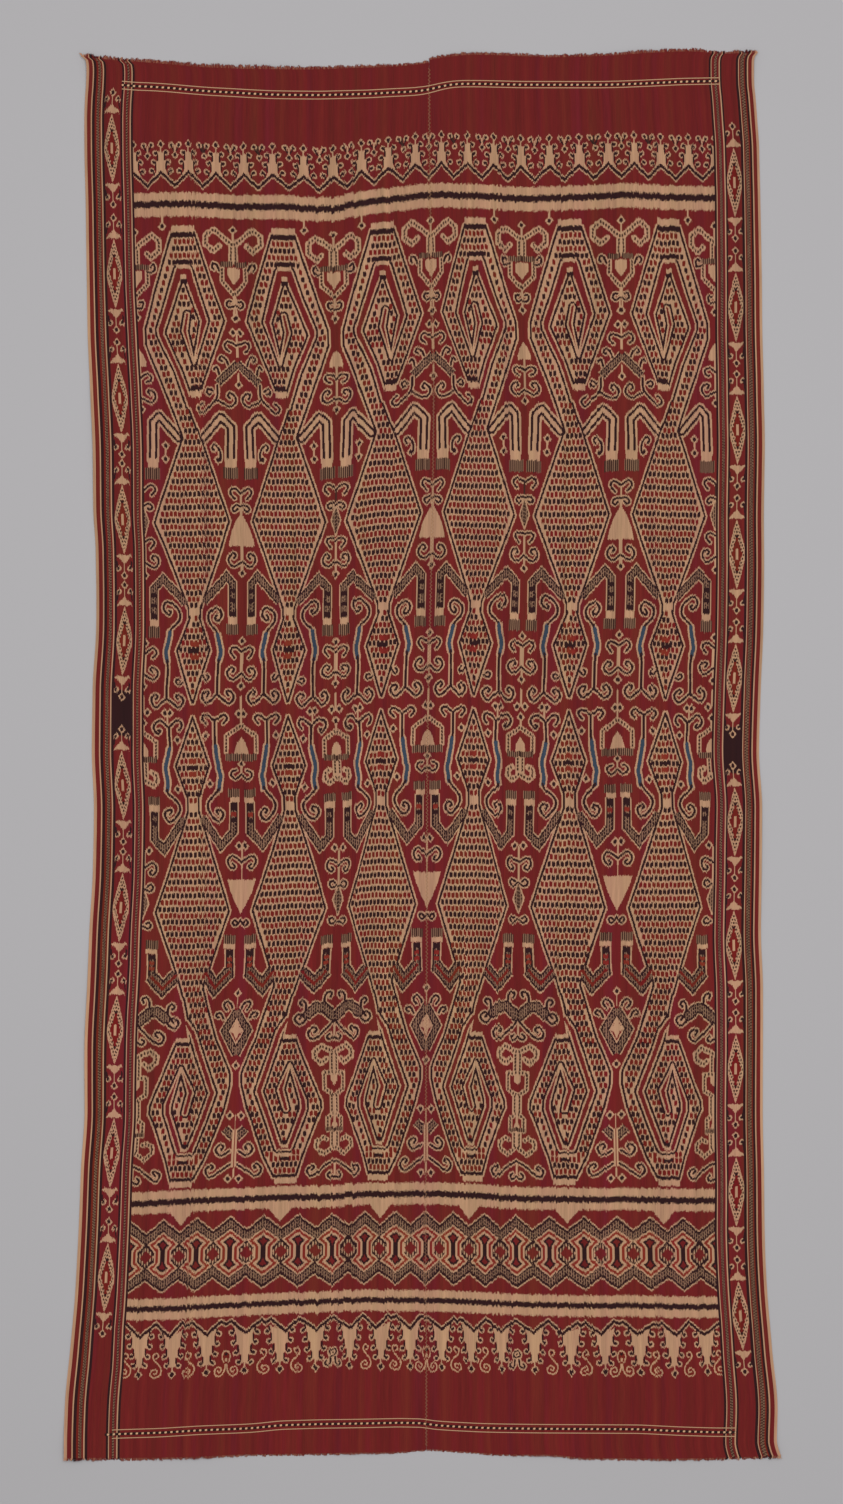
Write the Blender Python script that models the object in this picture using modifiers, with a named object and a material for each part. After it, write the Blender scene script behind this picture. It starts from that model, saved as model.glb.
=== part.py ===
"""Ikat woven cloth of two panels joined side by side, lying flat with its short cut warp ends at both ends.

Run with: blender --background --python part.py
The cloth lies face up in metres: +Y is its top end, +X its right side, and its underside rests at z = 0.
"""

from collections import namedtuple

import bmesh
import bpy
import numpy as np

MM = 0.001

# Driving dimensions
SHEET_THICKNESS = 1.4 * MM
FRINGE_THICKNESS = 1.1 * MM
PIECE_GAP = 0.3 * MM
PANEL_CELLS_ACROSS = 12
PANEL_CELLS_ALONG = 48
LOCKS_PER_STRIP = 60
STRIP_DEPTH = 1.8 * MM
LOCK_ROOT_SHARE = 0.62
LOCK_TIP_SHARE = 0.30
LOCK_LEAN = 1.6 * MM
LOCK_SEED = 7

# A panel's outline, in mm. "out" is the distance from the seam and "down" the distance below the top datum.
# Each end row starts at the seam and stops at the corner where the selvedge row starts or stops.
Selvedge = namedtuple("Selvedge", "down out")
End = namedtuple("End", "out down")
Panel = namedtuple("Panel", "side selvedge top bottom")

PANELS = {
    "left": Panel(
        side=-1,
        selvedge=(
            Selvedge(down=15, out=573),
            Selvedge(down=22, out=566),
            Selvedge(down=36, out=565),
            Selvedge(down=60, out=566),
            Selvedge(down=86, out=568),
            Selvedge(down=119, out=569),
            Selvedge(down=168, out=569),
            Selvedge(down=267, out=568.5),
            Selvedge(down=366, out=568.5),
            Selvedge(down=465, out=569.5),
            Selvedge(down=564, out=566.5),
            Selvedge(down=663, out=561.5),
            Selvedge(down=762, out=559.5),
            Selvedge(down=828, out=554.5),
            Selvedge(down=960, out=550.5),
            Selvedge(down=1059, out=554),
            Selvedge(down=1158, out=553.5),
            Selvedge(down=1257, out=549.5),
            Selvedge(down=1356, out=551),
            Selvedge(down=1455, out=556.5),
            Selvedge(down=1554, out=560),
            Selvedge(down=1653, out=563.5),
            Selvedge(down=1752, out=563),
            Selvedge(down=1851, out=569),
            Selvedge(down=1950, out=572.5),
            Selvedge(down=2049, out=578),
            Selvedge(down=2148, out=587.5),
            Selvedge(down=2247, out=596.5),
            Selvedge(down=2297, out=597.5),
            Selvedge(down=2325, out=597.5),
        ),
        top=(
            End(out=0, down=25),
            End(out=57, down=31),
            End(out=122, down=33),
            End(out=202, down=36),
            End(out=282, down=35.5),
            End(out=372, down=32),
            End(out=452, down=25),
            End(out=512, down=21),
            End(out=573, down=15),
        ),
        bottom=(
            End(out=0, down=2312),
            End(out=54, down=2316),
            End(out=124, down=2317),
            End(out=204, down=2319),
            End(out=294, down=2320),
            End(out=394, down=2324),
            End(out=494, down=2326),
            End(out=597.5, down=2325),
        ),
    ),
    "right": Panel(
        side=1,
        selvedge=(
            Selvedge(down=9, out=541.5),
            Selvedge(down=15, out=537),
            Selvedge(down=23, out=535.5),
            Selvedge(down=40, out=535.5),
            Selvedge(down=60, out=536),
            Selvedge(down=79, out=538),
            Selvedge(down=119, out=541),
            Selvedge(down=168, out=544),
            Selvedge(down=267, out=544.5),
            Selvedge(down=366, out=545),
            Selvedge(down=465, out=543.5),
            Selvedge(down=564, out=544.5),
            Selvedge(down=663, out=547),
            Selvedge(down=762, out=546.5),
            Selvedge(down=861, out=549),
            Selvedge(down=960, out=550),
            Selvedge(down=1059, out=548),
            Selvedge(down=1158, out=547),
            Selvedge(down=1257, out=552.5),
            Selvedge(down=1356, out=552),
            Selvedge(down=1455, out=551),
            Selvedge(down=1554, out=555),
            Selvedge(down=1653, out=555.5),
            Selvedge(down=1752, out=555.5),
            Selvedge(down=1851, out=557.5),
            Selvedge(down=1950, out=559),
            Selvedge(down=2049, out=563),
            Selvedge(down=2148, out=570.5),
            Selvedge(down=2247, out=579.5),
            Selvedge(down=2297, out=578),
            Selvedge(down=2312, out=581),
            Selvedge(down=2321, out=584.5),
        ),
        top=(
            End(out=0, down=20),
            End(out=38, down=14.5),
            End(out=73, down=12),
            End(out=148, down=13.5),
            End(out=198, down=15.5),
            End(out=288, down=13.5),
            End(out=378, down=8),
            End(out=438, down=6),
            End(out=478, down=9.5),
            End(out=541.5, down=9),
        ),
        bottom=(
            End(out=0, down=2311),
            End(out=57, down=2315),
            End(out=137, down=2320),
            End(out=197, down=2320),
            End(out=267, down=2326),
            End(out=367, down=2327),
            End(out=457, down=2326),
            End(out=527, down=2324.5),
            End(out=584.5, down=2321),
        ),
    ),
}

# The seam bows a little to one side along its length, in mm.
Bow = namedtuple("Bow", "down aside")
SEAM_BOW = (
    Bow(down=0, aside=0.2),
    Bow(down=155, aside=0.5),
    Bow(down=257, aside=2.2),
    Bow(down=360, aside=3.6),
    Bow(down=462, aside=6.2),
    Bow(down=564, aside=7.7),
    Bow(down=667, aside=6.8),
    Bow(down=769, aside=5.8),
    Bow(down=871, aside=3.5),
    Bow(down=974, aside=1),
    Bow(down=1076, aside=-1.2),
    Bow(down=1178, aside=-2.9),
    Bow(down=1330, aside=-3.4),
    Bow(down=1485, aside=-3.7),
    Bow(down=1690, aside=-4.9),
    Bow(down=1894, aside=-5.2),
    Bow(down=2000, aside=-5.6),
    Bow(down=2150, aside=-4.5),
    Bow(down=2330, aside=-4.5),
)

# Where the cloth lifts off its support in low, soft swellings, in mm. "across" is from the seam, + to the right.
Swelling = namedtuple("Swelling", "across down half_width half_length rise")
SWELLINGS = (
    Swelling(across=-600, down=2345, half_width=85, half_length=110, rise=7.0),
    Swelling(across=-380, down=2340, half_width=120, half_length=70, rise=3.5),
    Swelling(across=-110, down=2340, half_width=95, half_length=60, rise=3.0),
    Swelling(across=190, down=2340, half_width=110, half_length=70, rise=3.5),
    Swelling(across=430, down=2345, half_width=100, half_length=60, rise=3.0),
    Swelling(across=585, down=2340, half_width=70, half_length=90, rise=5.0),
    Swelling(across=-575, down=10, half_width=70, half_length=80, rise=5.0),
    Swelling(across=-280, down=20, half_width=150, half_length=75, rise=4.0),
    Swelling(across=60, down=5, half_width=110, half_length=60, rise=3.0),
    Swelling(across=330, down=0, half_width=130, half_length=70, rise=3.5),
    Swelling(across=545, down=5, half_width=60, half_length=80, rise=5.0),
    Swelling(across=-575, down=640, half_width=60, half_length=190, rise=3.0),
    Swelling(across=-580, down=1650, half_width=60, half_length=230, rise=3.0),
    Swelling(across=565, down=1320, half_width=60, half_length=210, rise=3.0),
    Swelling(across=-60, down=250, half_width=120, half_length=140, rise=1.8),
    Swelling(across=150, down=2080, half_width=140, half_length=120, rise=1.8),
)

# The cut warp ends at each end of each panel, in mm: how long the locks are at the seam, midway and at the corner.
Fringe = namedtuple("Fringe", "panel end at_seam midway at_corner")
FRINGES = (
    Fringe(panel="left", end="top", at_seam=4.0, midway=7.0, at_corner=6.0),
    Fringe(panel="right", end="top", at_seam=4.5, midway=5.5, at_corner=5.0),
    Fringe(panel="left", end="bottom", at_seam=4.0, midway=5.0, at_corner=6.5),
    Fringe(panel="right", end="bottom", at_seam=4.0, midway=5.0, at_corner=6.0),
)

# The look of each material: red dyed cotton with pale stripes, and the paler cut ends.
Finish = namedtuple("Finish", "color roughness")
PANEL_FINISH = Finish(color=(0.17, 0.022, 0.026), roughness=0.92)
FRINGE_FINISH = Finish(color=(0.21, 0.045, 0.04), roughness=0.95)


def read_curve(rows, at):
    """The smooth curve through a table's rows, first column against second, read at the given places in metres.

    The slope at a row is the harmonic mean of its two runs' slopes, or level where the rows turn, so nothing overshoots.
    """
    places, values = np.array(rows, float).T * MM
    runs = np.diff(values) / np.diff(places)
    same_way = runs[:-1] * runs[1:] > 0
    middling = 2 * runs[:-1] * runs[1:] / np.where(same_way, runs[:-1] + runs[1:], 1)
    slopes = np.concatenate([runs[:1], np.where(same_way, middling, 0), runs[-1:]])
    row = np.clip(np.searchsorted(places, at) - 1, 0, len(places) - 2)
    step = places[row + 1] - places[row]
    share = (at - places[row]) / step
    near, far = (1 + 2 * share) * (1 - share) ** 2, (3 - 2 * share) * share**2
    lead, trail = share * (1 - share) ** 2, share**2 * (share - 1)
    return near * values[row] + far * values[row + 1] + step * (lead * slopes[row] + trail * slopes[row + 1])


def end_curve(rows, share):
    """Points of a panel's top or bottom edge, as (out, down), from the seam at share 0 to the corner at share 1."""
    out = PIECE_GAP / 2 + share * (rows[-1].out * MM - PIECE_GAP / 2)
    return np.stack([out, read_curve(rows, out)], axis=-1)


def side_curve(panel, share, on_seam):
    """Points of a panel's seam edge or outer selvedge, as (out, down), from the top at share 0 to the bottom at 1."""
    first, last = (0, 0) if on_seam else (-1, -1)
    high, low = panel.top[first].down * MM, panel.bottom[last].down * MM
    down = high + share * (low - high)
    out = np.full_like(down, PIECE_GAP / 2) if on_seam else read_curve(panel.selvedge, down)
    return np.stack([out, down], axis=-1)


def panel_points(panel, cells_across, cells_along):
    """A grid of (out, down) points that fills the panel between its four edges, each edge carried evenly inwards."""
    s = np.linspace(0, 1, cells_across + 1)[None, :, None]
    t = np.linspace(0, 1, cells_along + 1)[:, None, None]
    top, bottom = end_curve(panel.top, s[0, :, 0]), end_curve(panel.bottom, s[0, :, 0])
    seam = side_curve(panel, t[:, 0, 0], on_seam=True)[:, None]
    selvedge = side_curve(panel, t[:, 0, 0], on_seam=False)[:, None]
    corners = (1 - t) * ((1 - s) * top[0] + s * top[-1]) + t * ((1 - s) * bottom[0] + s * bottom[-1])
    return (1 - t) * top + t * bottom + (1 - s) * seam + s * selvedge - corners


def lift(across, down):
    """How high the cloth's underside stands off its support, from the swellings."""
    height = np.zeros_like(across)
    for swelling in SWELLINGS:
        sideways = np.clip(np.abs(across / MM - swelling.across) / swelling.half_width, 0, 1)
        lengthways = np.clip(np.abs(down / MM - swelling.down) / swelling.half_length, 0, 1)
        height += swelling.rise * MM * (np.cos(sideways * np.pi / 2) * np.cos(lengthways * np.pi / 2)) ** 2
    return height


def placed(points, side):
    """World points of (out, down) points on one side of the seam, about the middle of the cloth."""
    across = side * points[..., 0]
    down = points[..., 1]
    x = across + read_curve(SEAM_BOW, down) - MIDDLE[0]
    y = MIDDLE[1] - down
    return np.stack([x, y, lift(across, down)], axis=-1)


def woven_edge(rows, share):
    """Points of a panel's top or bottom edge with the straight runs of the panel's own cells, as (out, down)."""
    stations = np.linspace(0, 1, PANEL_CELLS_ACROSS + 1)
    out, down = end_curve(rows, stations).T
    return np.stack([np.interp(share, stations, out), np.interp(share, stations, down)], axis=1)


def lock_lengths(fringe, share):
    """Each lock's length at its place along the strip, a smooth run through three lengths with an uneven trim."""
    trim = np.random.RandomState(LOCK_SEED).uniform(0.75, 1.1, share.size)
    return np.interp(share, (0, 0.5, 1), (fringe.at_seam, fringe.midway, fringe.at_corner)) * MM * trim


def fringe_rows(fringe):
    """Four rows of (out, down) points: the strip's inner edge, its root line, and the two corners of each lock's tip."""
    panel = PANELS[fringe.panel]
    away = -1 if fringe.end == "top" else 1
    pitch = 1 / LOCKS_PER_STRIP
    starts = np.arange(LOCKS_PER_STRIP) * pitch
    share = np.append(np.stack([starts, starts + LOCK_ROOT_SHARE * pitch], axis=1).ravel(), 1.0)
    inner = woven_edge(getattr(panel, fringe.end), share) + (0, away * PIECE_GAP)
    root = inner + (0, away * STRIP_DEPTH)
    lean = np.random.RandomState(LOCK_SEED + 1).uniform(-LOCK_LEAN, LOCK_LEAN, LOCKS_PER_STRIP)
    length = lock_lengths(fringe, starts)
    middle = (root[0:-1:2] + root[1::2]) / 2 + np.stack([lean, away * length], axis=1)
    half_tip = LOCK_TIP_SHARE * pitch * panel.selvedge[0].out * MM / 2
    return inner, root, middle - (half_tip, 0), middle + (half_tip, 0)


def cloth_middle():
    """The middle of the whole outline, fringes included, as (across, down)."""
    reach = []
    for panel in PANELS.values():
        points = panel_points(panel, PANEL_CELLS_ACROSS, PANEL_CELLS_ALONG).reshape(-1, 2)
        across = panel.side * points[:, 0] + read_curve(SEAM_BOW, points[:, 1])
        reach.append(np.stack([across, points[:, 1]], axis=1))
    for fringe in FRINGES:
        points = np.concatenate(fringe_rows(fringe))
        across = PANELS[fringe.panel].side * points[:, 0] + read_curve(SEAM_BOW, points[:, 1])
        reach.append(np.stack([across, points[:, 1]], axis=1))
    reach = np.concatenate(reach)
    return (reach.min(axis=0) + reach.max(axis=0)) / 2


def make_material(name, finish):
    material = bpy.data.materials.new(name)
    material.use_nodes = True
    shader = material.node_tree.nodes["Principled BSDF"]
    shader.inputs["Base Color"].default_value = (*finish.color, 1)
    shader.inputs["Roughness"].default_value = finish.roughness
    shader.inputs["Metallic"].default_value = 0
    return material


def make_sheet(name, points, faces, thickness, finish, collection):
    """An open surface that is the sheet's underside, thickened upwards into one closed solid."""
    mesh = bpy.data.meshes.new(name)
    mesh.from_pydata(points.reshape(-1, 3).tolist(), [], faces)
    shape = bmesh.new()
    shape.from_mesh(mesh)
    bmesh.ops.recalc_face_normals(shape, faces=shape.faces)
    if sum(face.normal.z for face in shape.faces) < 0:
        bmesh.ops.reverse_faces(shape, faces=shape.faces)
    shape.to_mesh(mesh)
    shape.free()
    mesh.materials.append(make_material(name, finish))
    sheet = bpy.data.objects.new(name, mesh)
    collection.objects.link(sheet)
    solidify = sheet.modifiers.new("thickness", "SOLIDIFY")
    solidify.thickness = thickness
    solidify.offset = 1
    return sheet


def make_panel(side_name, collection):
    panel = PANELS[side_name]
    points = placed(panel_points(panel, PANEL_CELLS_ACROSS, PANEL_CELLS_ALONG), panel.side)
    rows, columns = points.shape[:2]
    corner = (np.arange(rows - 1)[:, None] * columns + np.arange(columns - 1)).ravel()
    faces = np.stack([corner, corner + 1, corner + columns + 1, corner + columns], axis=1)
    name = f"panel_{side_name}"
    return make_sheet(name, points, faces.tolist(), SHEET_THICKNESS, PANEL_FINISH, collection)


def make_fringe(fringe, collection):
    side = PANELS[fringe.panel].side
    inner, root, tip_near, tip_far = (placed(row, side) for row in fringe_rows(fringe))
    columns = len(inner)
    cell = np.arange(columns - 1)
    strip_faces = np.stack([cell, cell + 1, columns + cell + 1, columns + cell], axis=1)
    lock = np.arange(LOCKS_PER_STRIP)
    root_start = columns + 2 * lock
    near_start = 2 * columns + lock
    lock_faces = np.stack([root_start, root_start + 1, near_start + LOCKS_PER_STRIP, near_start], axis=1)
    points = np.concatenate([inner, root, tip_near, tip_far])
    faces = np.concatenate([strip_faces, lock_faces]).tolist()
    name = f"fringe_{fringe.end}_{fringe.panel}"
    return make_sheet(name, points, faces, FRINGE_THICKNESS, FRINGE_FINISH, collection)


def main():
    for old in list(bpy.data.objects):
        bpy.data.objects.remove(old)
    collection = bpy.data.collections.new("ikat_woven_cloth")
    bpy.context.scene.collection.children.link(collection)
    for side_name in PANELS:
        make_panel(side_name, collection)
    for fringe in FRINGES:
        make_fringe(fringe, collection)


MIDDLE = cloth_middle()

main()
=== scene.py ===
import bpy
import numpy as np
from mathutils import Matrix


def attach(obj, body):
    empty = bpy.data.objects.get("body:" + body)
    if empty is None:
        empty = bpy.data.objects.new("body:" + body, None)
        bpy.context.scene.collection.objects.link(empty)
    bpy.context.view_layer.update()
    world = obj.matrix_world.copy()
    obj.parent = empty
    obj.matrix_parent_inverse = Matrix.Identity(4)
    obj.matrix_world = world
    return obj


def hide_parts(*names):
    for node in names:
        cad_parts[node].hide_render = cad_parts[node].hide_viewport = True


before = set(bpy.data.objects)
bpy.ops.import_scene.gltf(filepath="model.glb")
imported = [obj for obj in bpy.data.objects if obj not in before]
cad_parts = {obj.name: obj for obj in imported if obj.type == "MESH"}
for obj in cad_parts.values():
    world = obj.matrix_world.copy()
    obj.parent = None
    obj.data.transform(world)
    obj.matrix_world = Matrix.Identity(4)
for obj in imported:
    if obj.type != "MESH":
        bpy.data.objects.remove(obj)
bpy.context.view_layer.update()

mm = 0.001
knot = 1.65  # mm, the width and height of one knot of the chart on the cloth
chartTop = 48  # the chart's row at the top datum of the cloth, in knots
seamLine = 429  # the chart's column at the seam, in knots

# The inks of the chart, as numbers that the weave's colours are looked up by.
red, darkRed, black, cream, tan, blue, brown, brick = range(8)


def linear(hexColour, alpha=1.0):
    """An sRGB hex colour as linear light: below 0.04045 it is divided by 12.92, else ((c + 0.055) / 1.055) ** 2.4."""
    parts = [int(hexColour[i:i + 2], 16) / 255 for i in (1, 3, 5)]
    return tuple(c / 12.92 if c <= 0.04045 else ((c + 0.055) / 1.055) ** 2.4 for c in parts) + (alpha,)


# Shape of the cloth

cloth = {
    "thickness": 1.2,  # mm, warp-faced cotton with its ribs
    "topFace": 1.4,  # mm, height of the upper face where the cloth lies flat
    "gap": 0.3,  # mm, between the two panels' inner selvedges
    "cellsAcross": 101,
    "cellsAlong": 422,
    "threadsPerCell": 8,
    "picksPerCell": 6,
}

# Outlines in mm: out from the seam, down from the top datum. Rows run from the seam to the corner.
panels = {
    "left": {
        "side": -1,
        "chartWidth": 336.7,
        "selvedge": ((15, 573), (22, 566), (36, 565), (60, 566), (86, 568), (119, 569), (168, 569),
                     (267, 568.5), (366, 568.5), (465, 569.5), (564, 566.5), (663, 561.5), (762, 559.5),
                     (828, 554.5), (960, 550.5), (1059, 554), (1158, 553.5), (1257, 549.5), (1356, 551),
                     (1455, 556.5), (1554, 560), (1653, 563.5), (1752, 563), (1851, 569), (1950, 572.5),
                     (2049, 578), (2148, 587.5), (2247, 596.5), (2297, 597.5), (2325, 597.5)),
        "top": ((0, 25), (57, 31), (122, 33), (202, 36), (282, 35.5), (372, 32), (452, 25), (512, 21),
                (573, 15)),
        "bottom": ((0, 2312), (54, 2316), (124, 2317), (204, 2319), (294, 2320), (394, 2324), (494, 2326),
                   (597.5, 2325)),
        # how far the warp crowds outwards or inwards by height, as chart row and share
        "crowding": ((60, 0.12), (200, 0.115), (290, 0.1), (336, 0.055), (426, 0.03), (606, 0.045), (700, 0.01),
                     (741, -0.01), (830, -0.01), (966, -0.02), (1011, 0.01), (1150, 0.03), (1330, 0.03),
                     (1371, -0.015), (1460, 0.0)),
    },
    "right": {
        "side": 1,
        "chartWidth": 332.0,
        "selvedge": ((9, 541.5), (15, 537), (23, 535.5), (40, 535.5), (60, 536), (79, 538), (119, 541),
                     (168, 544), (267, 544.5), (366, 545), (465, 543.5), (564, 544.5), (663, 547),
                     (762, 546.5), (861, 549), (960, 550), (1059, 548), (1158, 547), (1257, 552.5),
                     (1356, 552), (1455, 551), (1554, 555), (1653, 555.5), (1752, 555.5), (1851, 557.5),
                     (1950, 559), (2049, 563), (2148, 570.5), (2247, 579.5), (2297, 578), (2312, 581),
                     (2321, 584.5)),
        "top": ((0, 20), (38, 14.5), (73, 12), (148, 13.5), (198, 15.5), (288, 13.5), (378, 8), (438, 6),
                (478, 9.5), (541.5, 9)),
        "bottom": ((0, 2311), (57, 2315), (137, 2320), (197, 2320), (267, 2326), (367, 2327), (457, 2326),
                   (527, 2324.5), (584.5, 2321)),
        "crowding": ((60, 0.02), (200, 0.03), (290, 0.0), (340, -0.02), (426, -0.04), (600, -0.035), (741, -0.02),
                     (880, -0.02), (966, -0.045), (1056, -0.025), (1190, -0.04), (1236, -0.06), (1326, -0.055),
                     (1371, -0.08), (1416, -0.11), (1460, -0.12)),
    },
}
seamBow = ((0, 0.2), (155, 0.5), (257, 2.2), (360, 3.6), (462, 6.2), (564, 7.7), (667, 6.8), (769, 5.8),
           (871, 3.5), (974, 1), (1076, -1.2), (1178, -2.9), (1330, -3.4), (1485, -3.7), (1690, -4.9),
           (1894, -5.2), (2000, -5.6), (2150, -4.5), (2330, -4.5))

# Low swellings where the cloth stands off the floor, in mm: across, down, half width, half length, rise.
swellings = np.array((
    (-600, 2345, 85, 110, 7.0), (-380, 2340, 120, 70, 3.5), (-110, 2340, 95, 60, 3.0), (190, 2340, 110, 70, 3.5),
    (430, 2345, 100, 60, 3.0), (585, 2340, 70, 90, 5.0), (-575, 10, 70, 80, 5.0), (-280, 20, 150, 75, 4.0),
    (60, 5, 110, 60, 3.0), (330, 0, 130, 70, 3.5), (545, 5, 60, 80, 5.0), (-575, 640, 60, 190, 3.0),
    (-580, 1650, 60, 230, 3.0), (565, 1320, 60, 210, 3.0), (-60, 250, 120, 140, 1.8), (150, 2080, 140, 120, 1.8),
))
# How far the threads lie to the right of their even places, in knots: rows of the chart down, its columns across.
driftColumns = (92, 143.7, 192, 241, 289, 334.5, 382, 429, 478, 524, 570, 618, 664, 713.5, 762)
drifts = {
    60: (0, 0, 0.5, -0.3, 0.2, 1.4, 1.5, 0, -4, -4.2, -2.5, 1.6, 0.8, 0, 0),
    250: (0, 0, 0.6, -0.3, 0.2, 1.4, 1.5, 0, -4, -4.2, -2.5, 1.6, 0.8, 0, 0),
    300: (0, 0, 0.6, -0.3, 0, 1.2, 1.5, 0, -4.5, -4.5, -1.5, 1.4, 0.8, 0, 0),
    350: (0, 0, 0, -0.8, -1.2, 0.9, 1, 0, -3, -3.4, -0.5, 1.9, 1.6, 0, 0),
    400: (0, 0, 0.2, -0.7, -1.6, 0.2, -0.6, 0, -2.3, -2.6, 0.5, 2.1, 1.3, 0, 0),
    450: (0, 0, -0.6, -0.7, -1.1, -0.3, -0.2, 0, -1.6, -2.6, -0.6, 1.6, 2, 0, 0),
    550: (0, 0, 0, 0.1, 0.5, -0.8, -1, 0, -1, -2.2, -0.5, 1.3, 2.8, 0, 0),
    600: (0, 0, 0, 0.6, 1.2, -0.3, -1, 0, -0.9, -1.8, -0.7, 1.8, 3, 0, 0),
    650: (0, 0, 0, 0.5, 1.1, 1, -0.5, 0, -2.2, -2.2, -1.5, 1, 1.6, 0, 0),
    700: (0, 0, 0.4, 0.7, 1.2, 1.6, -0.4, 0, -1.9, -2, -1, 1.1, 1.9, 0, 0),
    750: (0, 0, 0, 1.1, 2.4, 3.4, 0, 0, -1, -1.7, -0.5, 2.2, 2.9, 0, 0),
    800: (0, 0, -0.5, 0.7, 2.4, 5.5, 0, 0, -0.8, -2.6, -0.4, 1.7, 2.8, 0.8, 0),
    850: (0, 0, -0.4, 0.8, 4, 5.6, 0.2, 0, -0.5, -3.8, -1, 1.3, 2.9, 0, 0),
    950: (0, 0, 0.8, 0.7, 3.6, 4.8, -0.6, 0, -1, -3.8, -2.6, 0.9, 3.2, 0, 0),
    1050: (0, 0.7, 1.5, 1.2, 3, 4, -0.3, 0, -2.5, -4.3, -3.9, 0, 3.5, 0.3, 0),
    1100: (0, 0, 0, 1.2, 4, 4.8, -1, 0, -2.8, -4.7, -4.8, -0.8, 3.4, 0, 0),
    1165: (0, 0, -0.4, 1.4, 4.9, 6.2, 0.6, 0, -2.2, -5.4, -4.3, -0.2, 4.4, 0, 0),
    1460: (0, 0, -0.4, 1.4, 4.9, 6.2, 0.6, 0, -2.2, -5.4, -4.3, -0.2, 4.4, 0, 0),
}
clothMiddle = (-11.0, 1166.782)  # mm, across and down: the middle of the whole outline


def readCurve(rows, at):
    """Smooth curve through the rows, first column against second: cubic Hermite, where the slope at a row is the
    harmonic mean of its two runs' slopes, or level where the rows turn."""
    places, values = np.array(rows, float).T
    runs = np.diff(values) / np.diff(places)
    sameWay = runs[:-1] * runs[1:] > 0
    middling = 2 * runs[:-1] * runs[1:] / np.where(sameWay, runs[:-1] + runs[1:], 1)
    slopes = np.concatenate([runs[:1], np.where(sameWay, middling, 0), runs[-1:]])
    row = np.clip(np.searchsorted(places, at) - 1, 0, len(places) - 2)
    step = places[row + 1] - places[row]
    share = (at - places[row]) / step
    near, far = (1 + 2 * share) * (1 - share) ** 2, (3 - 2 * share) * share ** 2
    lead, trail = share * (1 - share) ** 2, share ** 2 * (share - 1)
    return near * values[row] + far * values[row + 1] + step * (lead * slopes[row] + trail * slopes[row + 1])


def readTable(table, columns, x, y):
    """Even runs between a table's rows and columns, flat outside them."""
    values = np.array(list(table.values()), float)
    column = np.interp(x, columns, np.arange(len(columns)))
    row = np.interp(y, list(table), np.arange(len(table)))
    i, j = np.minimum(row.astype(int), len(table) - 2), np.minimum(column.astype(int), len(columns) - 2)
    v, u = row - i, column - j
    return ((values[i, j] * (1 - u) + values[i, j + 1] * u) * (1 - v)
            + (values[i + 1, j] * (1 - u) + values[i + 1, j + 1] * u) * v)


def panelPlaces(panel, s, t):
    """Out and down in mm at thread share s and length share t: out = s' * selvedge(t) + drift, where s' = s + crowding
    * s^2 * (1 - s), and down runs evenly from the top edge's curve at s' to the bottom edge's."""
    high, low = panel["top"][-1][1], panel["bottom"][-1][1]
    rows, crowding = np.array(panel["crowding"]).T
    chartRow = 60 + 1400 * t
    place = s + np.interp(chartRow, rows, crowding) * s ** 2 * (1 - s)
    column = seamLine + panel["side"] * s * panel["chartWidth"]
    drift = panel["side"] * knot * readTable(drifts, driftColumns, *np.broadcast_arrays(column, chartRow))
    edge = readCurve(panel["selvedge"], high + t * (low - high))
    gap = cloth["gap"] / 2
    out = gap + place * (edge - gap) + drift
    topOut = gap + place * (panel["top"][-1][0] - gap) + drift
    bottomOut = gap + place * (panel["bottom"][-1][0] - gap) + drift
    down = (1 - t) * readCurve(panel["top"], topOut) + t * readCurve(panel["bottom"], bottomOut)
    return out, down


def liftOf(across, down):
    """Height of the underside in mm: the sum over the swellings of rise * (cos * cos)^2, zero past their half size."""
    height = np.zeros(np.broadcast(across, down).shape)
    for x, y, halfWidth, halfLength, rise in swellings:
        sideways = np.clip(np.abs(across - x) / halfWidth, 0, 1)
        lengthways = np.clip(np.abs(down - y) / halfLength, 0, 1)
        height += rise * (np.cos(sideways * np.pi / 2) * np.cos(lengthways * np.pi / 2)) ** 2
    return height


def placed(across, down, above):
    """World points in metres from mm across the seam, down the cloth and above the upper face."""
    x = across + readCurve(seamBow, down) - clothMiddle[0]
    y = clothMiddle[1] - down
    z = liftOf(across, down) + cloth["topFace"] + above
    return np.stack(np.broadcast_arrays(x, y, z), axis=-1) * mm


# Drawing tools of the chart

chartStep = 0.25  # knots between the samples of a chart
chart = {}
inkQueue = []


def newChart(left, top, width, height):
    """Starts a chart: a grid of ink numbers over a box in knots. The drawing tools below work on the latest one."""
    shape = (int(height / chartStep), int(width / chartStep))
    chart.update(left=left, top=top, ink=np.zeros(shape, np.int8))
    inkQueue.clear()


def inkChart():
    """Lays the queued areas on the chart, by level and then by order, and returns a copy of the chart."""
    for level, order, place, mask, ink in sorted(inkQueue, key=lambda item: item[:2]):
        np.copyto(chart["ink"][place], ink, where=mask)
    return dict(chart)


def readChart(drawn, x, y):
    """The ink at places in knots, the nearest sample of a finished chart, plain red outside it."""
    row = np.floor((y - drawn["top"]) / chartStep).astype(int)
    column = np.floor((x - drawn["left"]) / chartStep).astype(int)
    rows, columns = drawn["ink"].shape
    inside = (row >= 0) & (row < rows) & (column >= 0) & (column < columns)
    return np.where(inside, drawn["ink"][np.clip(row, 0, rows - 1), np.clip(column, 0, columns - 1)], red)


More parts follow.
